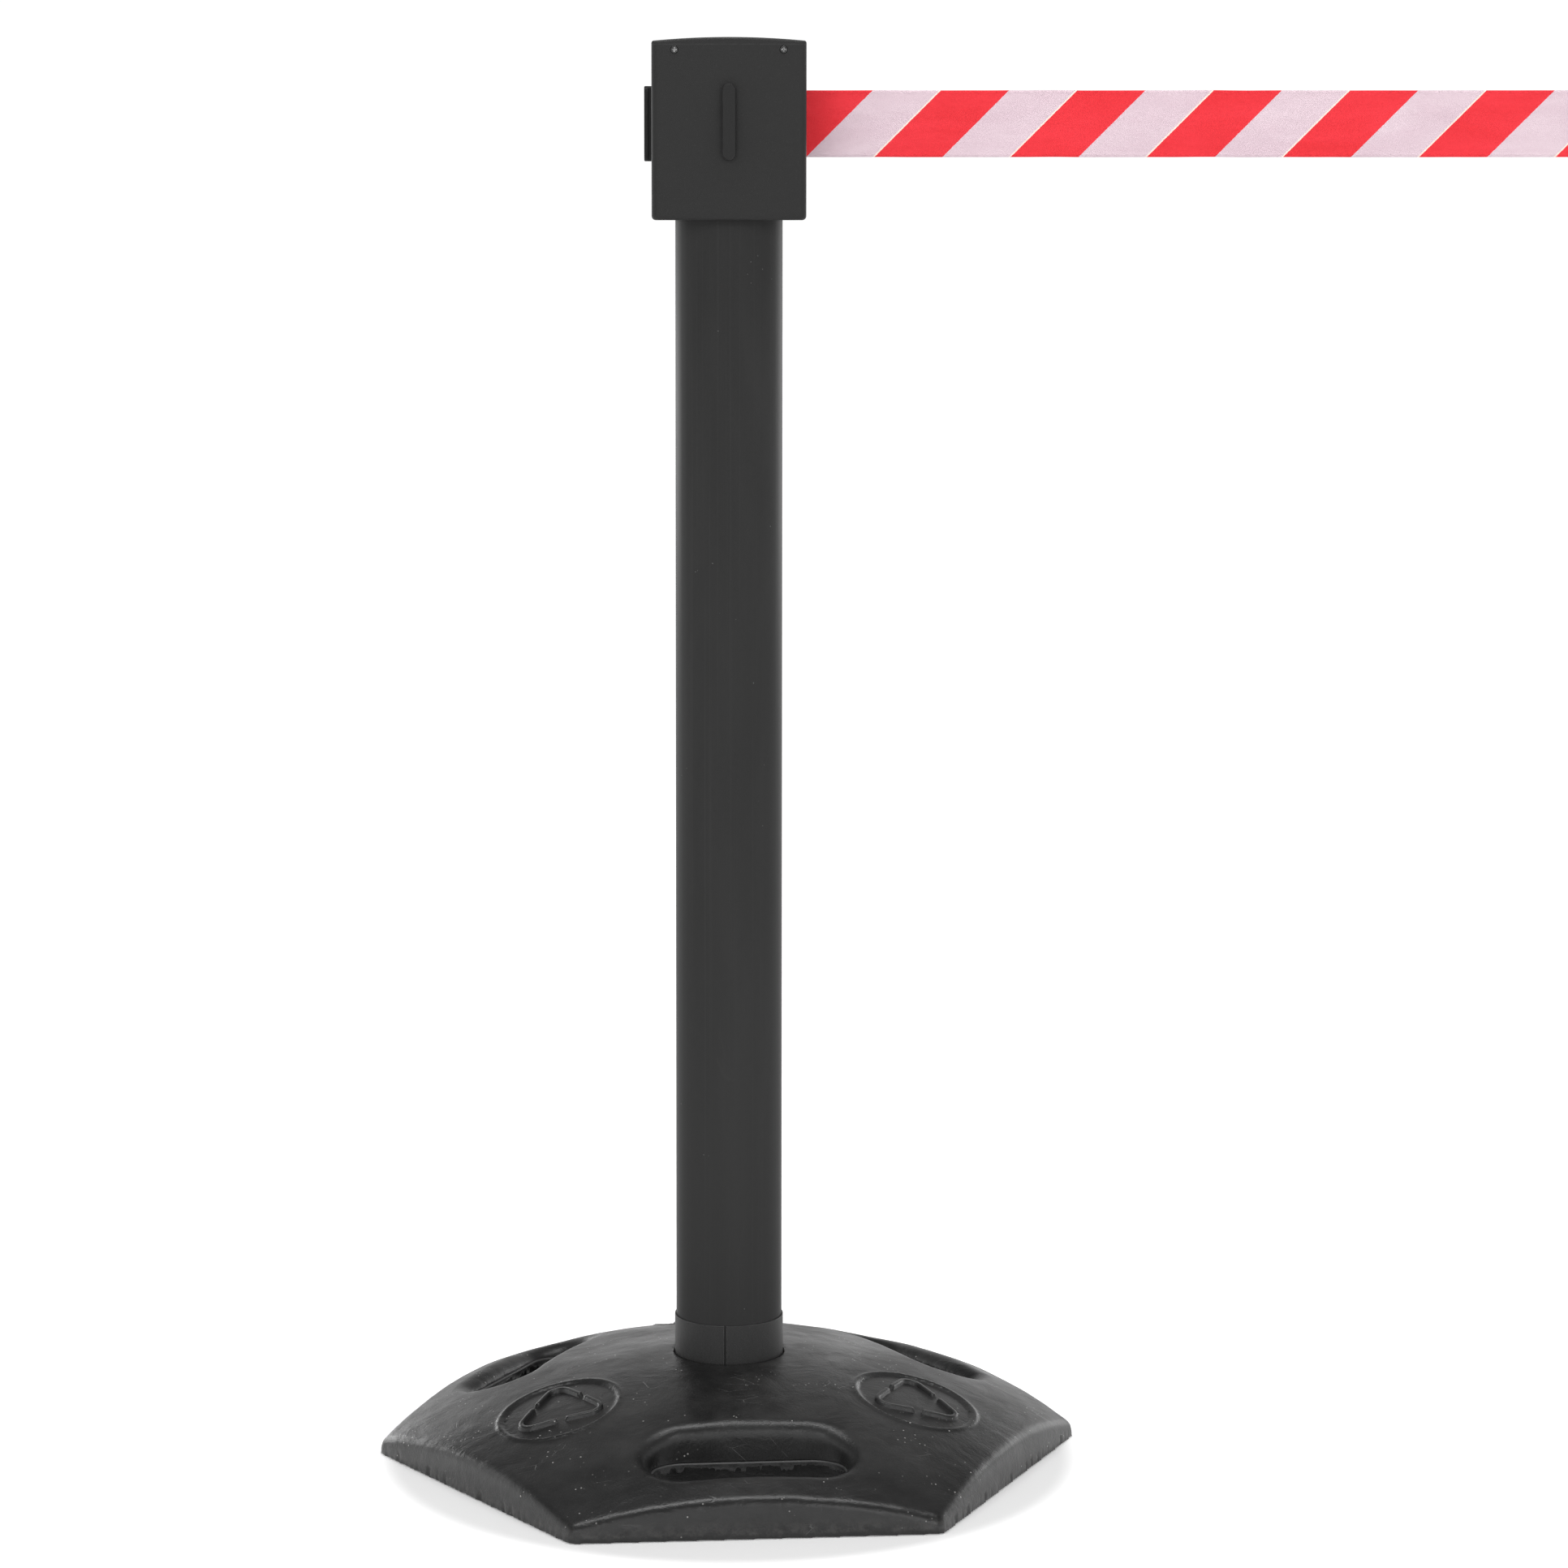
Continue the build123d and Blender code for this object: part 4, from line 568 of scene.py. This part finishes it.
def hold_flash():
    """Torn moulding flash that hangs from the ledge inside each hand hold."""
    dice = random.Random(4)
    vertices, faces = [], []
    straight = 2 * HOLD_HALF
    arc = math.pi * HOLD_ROUND
    count = int((2 * straight + 2 * arc) / FLASH_STEP)
    for k in range(3):
        angle = BASE_TURN - math.pi / 2 + k * 2 * math.pi / 3
        start = len(vertices)
        tooth, left = 0.0, 0
        for i in range(count):
            s = i * (2 * straight + 2 * arc) / count
            side, out, nx, ny = outline_point(s, straight, arc)
            if left <= 0:
                tooth, left = dice.choice(FLASH_TEETH), dice.randint(1, 7)
            left -= 1
            length = tooth + dice.uniform(0, 0.0010)
            lean = 0.0002 + 0.0006 * noise.noise(Vector((s * 70, k, 0)))
            rows = (
                (-0.0003, 0.0014),
                (0.0010, 0.0010),
                (0.0012, 0.0003),
                (0.0004 + lean, -0.0004 - 0.5 * length),
                (0.0002 + 2 * lean, -0.0004 - length),
                (-0.0003 + 2 * lean, -0.0003 - length),
                (-0.0003, 0.0),
            )
            for inward, rise in rows:
                a, b = HOLD_REACH + out - ny * inward, side - nx * inward
                x, y = turned(a, b, angle)
                vertices.append((x, y, HOLD_LEDGE + rise))
        width = len(rows)
        for i in range(count):
            a, b = start + i * width, start + (i + 1) % count * width
            for r in range(width):
                q = (r + 1) % width
                faces.append((a + r, b + r, b + q, a + q))
    add_piece("hold_flash", vertices, faces, "rubber", "stand", flash_skin())


def outline_point(s, straight, arc):
    """A point at distance s round a straight-sided outline, and its outward direction."""
    if s < straight:
        return -HOLD_HALF + s, HOLD_ROUND, 0.0, 1.0
    s -= straight
    if s < arc:
        return round_end(HOLD_HALF, math.pi / 2 - s / HOLD_ROUND)
    s -= arc
    if s < straight:
        return HOLD_HALF - s, -HOLD_ROUND, 0.0, -1.0
    return round_end(-HOLD_HALF, -math.pi / 2 - (s - straight) / HOLD_ROUND)


def round_end(centre, turn):
    """A point on one of the outline's half circles, and its outward direction."""
    c, n = math.cos(turn), math.sin(turn)
    return centre + HOLD_ROUND * c, HOLD_ROUND * n, c, n


def triangle_bar(corner):
    """Middle line of one bent bar: out of a side's middle, round the corner and to the next side."""
    apex = Vector((0, TRIANGLE_RADIUS - BAR_WIDTH, 0))
    spin = Matrix.Rotation(corner * 2 * math.pi / 3, 3, "Z")
    lower = math.radians(210)
    left = Vector((math.cos(lower), math.sin(lower), 0)) * apex.y
    right = Vector((-left.x, left.y, 0))
    to_left, to_right = (left - apex).normalized(), (right - apex).normalized()
    side = (left - apex).length / 2 - BAR_GAP / 2
    tangent = BAR_BEND * math.tan(math.radians(60))
    centre = apex + (to_left + to_right).normalized() * (BAR_BEND / math.sin(math.radians(30)))
    points = [apex + to_left * (side + (tangent - side) * t / 12) for t in range(13)]
    for t in range(1, 15):
        turn = math.radians(150 - 120 * t / 15)
        points.append(centre + Vector((math.cos(turn), math.sin(turn), 0)) * BAR_BEND)
    points += [apex + to_right * (tangent + (side - tangent) * t / 12) for t in range(13)]
    return [spin @ p for p in points]


def badge_bars():
    """Three bent bars in a rounded triangle on each badge, with softened shoulders."""
    vertices, faces = [], []
    half = BAR_WIDTH / 2
    section = (
        (-half - 0.0006, -0.0006),
        (-half, 0.0),
        (-half + 0.0003, BAR_RISE * 0.7),
        (-half + 0.0008, BAR_RISE),
        (half - 0.0008, BAR_RISE),
        (half - 0.0003, BAR_RISE * 0.7),
        (half, 0.0),
        (half + 0.0006, -0.0006),
    )
    for angle in BADGE_ANGLES:
        for corner in range(3):
            line = triangle_bar(corner)
            start = len(vertices)
            for i, p in enumerate(line):
                ahead = line[min(i + 1, len(line) - 1)] - line[max(i - 1, 0)]
                across = Vector((-ahead.y, ahead.x, 0)).normalized()
                at_end = i in (0, len(line) - 1)
                for offset, rise in section:
                    q = p + across * offset
                    x, y = turned(BADGE_REACH + q.y * TRIANGLE_SHORTENED, -q.x, angle)
                    floor = dome_height(math.hypot(x, y)) - BADGE_DEPTH
                    height = min(rise, 0) - BAR_END_DROP if at_end else rise
                    vertices.append((x, y, floor + height))
            width = len(section)
            for i in range(len(line) - 1):
                a, b = start + i * width, start + (i + 1) * width
                for r in range(width - 1):
                    faces.append((a + r, a + r + 1, b + r + 1, b + r))
            faces.append(tuple(start + r for r in range(width)))
            faces.append(tuple(start + (len(line) - 1) * width + r for r in reversed(range(width))))
    add_piece("badge_bars", vertices, faces, "rubber", "stand")


# ================= Belt =================


def belt_ribbon():
    """The woven belt: a thin ribbon with thicker selvedges, slightly cupped and wavy between its ends."""
    low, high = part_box("belt_strip")
    length, width = high.x - low.x, high.z - low.z
    middle, centre_y = (low.z + high.z) / 2, (low.y + high.y) / 2
    vertices, faces = [], []
    for i in range(RIBBON_ALONG + 1):
        t = i / RIBBON_ALONG
        x = low.x + t * length
        free = math.sin(math.pi * t) ** 0.6 if 0 < t < 1 else 0.0
        wave = 0.0007 * noise.noise(Vector((x * 9, 3.1, 0)))
        wave += 0.0003 * noise.noise(Vector((x * 34, 8.2, 0)))
        cup = 0.0008 * noise.noise(Vector((x * 5, 0, 4.4)))
        edge_wave = 0.0002 * noise.noise(Vector((x * 45, 1.5, 9.9)))
        ring = []
        for k in range(RIBBON_ACROSS + 1):
            v = -1 + 2 * k / RIBBON_ACROSS
            ripple = 0.00018 * noise.noise(Vector((x * 40, v * 2.2, 6.6)))
            y = centre_y + free * (wave + cup * (v * v - 0.4) + ripple)
            z = middle + v * (width / 2 + free * edge_wave * (1 if v > 0 else -1))
            thick = RIBBON_HALF_THICKNESS
            thick += SELVEDGE_SWELL * math.exp(-((abs(v) - 0.95) / 0.05) ** 2)
            thick *= math.sqrt(max(0.0, 1 - max(0.0, (abs(v) - 0.975) / 0.026) ** 2)) + 0.02
            ring.append((x, y, z, thick))
        vertices += [(x, y - h, z) for x, y, z, h in ring]
        vertices += [(x, y + h, z) for x, y, z, h in reversed(ring)]
    size = 2 * (RIBBON_ACROSS + 1)
    for i in range(RIBBON_ALONG):
        a, b = i * size, (i + 1) * size
        for r in range(size):
            q = (r + 1) % size
            faces.append((a + r, b + r, b + q, a + q))
    faces.append(tuple(range(size)))
    faces.append(tuple(RIBBON_ALONG * size + r for r in reversed(range(size))))
    piece = add_piece("belt_ribbon", vertices, faces, "webbing", "belt_end")
    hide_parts("belt_strip")
    return piece


def belt_stitches():
    """Rows of lock stitches that close the belt's loop beside the clip, on both faces."""
    low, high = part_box("belt_strip")
    dice = random.Random(11)
    vertices, faces = [], []
    rings = ((0, 0.35), (0.12, 0.9), (0.5, 1.1), (0.88, 0.9), (1, 0.35))
    for face in (-1, 1):
        for row in range(STITCH_ROWS):
            x = high.x - ROW_START - ROW_PITCH * row
            for k in range(STITCHES_PER_ROW):
                z0 = low.z + ROW_START + k * STITCH_PITCH
                slant = dice.uniform(-0.0002, 0.0002)
                start = len(vertices)
                for t, swell in rings:
                    centre_x = x + slant * (t - 0.5) * 2
                    lift = face * (RIBBON_HALF_THICKNESS + THREAD_LIFT * math.sin(math.pi * t))
                    thick = THREAD_RADIUS * swell
                    for n in range(THREAD_SIDES):
                        turn = 2 * math.pi * n / THREAD_SIDES
                        y = lift + thick * math.sin(turn)
                        vertices.append((centre_x + thick * math.cos(turn), y, z0 + STITCH_LENGTH * t))
                for j in range(len(rings) - 1):
                    a, b = start + j * THREAD_SIDES, start + (j + 1) * THREAD_SIDES
                    for n in range(THREAD_SIDES):
                        m = (n + 1) % THREAD_SIDES
                        faces.append((a + n, a + m, b + m, b + n))
                last = start + (len(rings) - 1) * THREAD_SIDES
                faces.append(tuple(start + n for n in reversed(range(THREAD_SIDES))))
                faces.append(tuple(last + n for n in range(THREAD_SIDES)))
    return add_piece("belt_stitches", vertices, faces, "webbing", "belt_end", thread())


def latch_spring():
    """The lever's coil spring, copied from the imported model to ride on the belt end; on the real belt
    it shortens into the clip as the lever is pressed.
    """
    piece = bpy.data.objects.new("latch_spring", nodes["lever_spring"].data.copy())
    scene.collection.objects.link(piece)
    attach(piece, "belt_end")
    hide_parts("lever_spring")
    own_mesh(piece)


base_skin()
hold_flash()
badge_bars()
ribbon = belt_ribbon()
stitches = belt_stitches()
for piece in (ribbon, stitches):
    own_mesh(piece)
latch_spring()


# ================= Stage, light and camera =================


def floor():
    """A large pale floor that glows to meet the white background, with a painted shadow round the base
    where its glow is dimmed.
    """
    mesh = bpy.data.meshes.new("floor")
    corners = [(x * FLOOR_HALF, y * FLOOR_HALF, 0) for x, y in ((-1, -1), (1, -1), (1, 1), (-1, 1))]
    mesh.from_pydata(corners, [], [(0, 1, 2, 3)])
    piece = bpy.data.objects.new("floor", mesh)
    piece.location.z = -FLOOR_DROP
    scene.collection.objects.link(piece)
    s = Shader("floor", Specular_IOR_Level=0.1, Roughness=0.7)
    s.set(Base_Color=s.mix(s.noise(3, 3), (0.80, 0.80, 0.80), (0.83, 0.83, 0.83)))
    reach = s.reach(forward=0.02)
    # Painted shadow: the floor's glow drops in a soft disc round the base.
    far, glow_with_painted_shadow = s.step(reach, 0.5, 3.5, 0.0, 0.23), s.step(reach, 0.236, 0.262, 0.18, 0.62)
    s.set(Emission_Color=(1.0, 1.0, 1.0), Emission_Strength=s.math("ADD", far, glow_with_painted_shadow))
    mesh.materials.append(s.material)


def sky():
    """White studio surround: bright up to a little above the horizon, and dim overhead."""
    world = bpy.data.worlds.new("studio")
    scene.world = world
    world.use_nodes = True
    tree = world.node_tree
    tree.nodes.clear()
    out = tree.nodes.new("ShaderNodeOutputWorld")
    back = tree.nodes.new("ShaderNodeBackground")
    ramp = tree.nodes.new("ShaderNodeValToRGB")
    split = tree.nodes.new("ShaderNodeSeparateXYZ")
    coordinates = tree.nodes.new("ShaderNodeTexCoord")
    tree.links.new(coordinates.outputs["Generated"], split.inputs[0])
    tree.links.new(split.outputs["Z"], ramp.inputs[0])
    tree.links.new(ramp.outputs[0], back.inputs[0])
    tree.links.new(back.outputs[0], out.inputs[0])
    stops = ramp.color_ramp.elements
    stops[0].position, stops[0].color = 0.0, (1.0, 1.0, 1.0, 1)
    stops[1].position, stops[1].color = 1.0, (0.16, 0.16, 0.16, 1)
    for position, level in ((0.29, 1.0), (0.52, 0.16)):
        stop = stops.new(position)
        stop.color = (level, level, level, 1)
    back.inputs[1].default_value = 1.04


def area_light(name, place, target, size, power):
    data = bpy.data.lights.new(name, "AREA")
    data.shape = "RECTANGLE"
    data.size, data.size_y = size
    data.energy = power
    light = bpy.data.objects.new(name, data)
    light.location = place
    light.rotation_euler = (Vector(target) - Vector(place)).to_track_quat("-Z", "Y").to_euler()
    scene.collection.objects.link(light)


floor()
sky()
area_light("overhead", (0, -0.30, 2.5), (0, -0.1, 0), (2.2, 0.45), 30)
area_light("front_left", (-0.9, -3.2, 1.8), (0, 0, 0.6), (1.0, 1.0), 12)
area_light("front_right", (1.3, -3.0, 1.6), (0.2, 0, 0.7), (1.0, 1.0), 12)
area_light("side_left", (-1.9, 2.2, 0.62), (0, 0, 0.05), (1.6, 0.5), 11)
area_light("side_right", (1.9, 2.2, 0.62), (0, 0, 0.05), (1.6, 0.5), 9)

camera = bpy.data.cameras.new("camera")
camera.sensor_width = 36
camera.lens = 95.5
camera.shift_x = 0.0351
camera.shift_y = -0.1299
camera.clip_end = 100
eye = bpy.data.objects.new("camera", camera)
eye.location = (0, -2.961, 0.8895)
eye.rotation_euler = (math.radians(85.013), 0, 0)
scene.collection.objects.link(eye)
scene.camera = eye
scene.view_settings.view_transform = "Standard"
scene.cycles.use_denoising = True
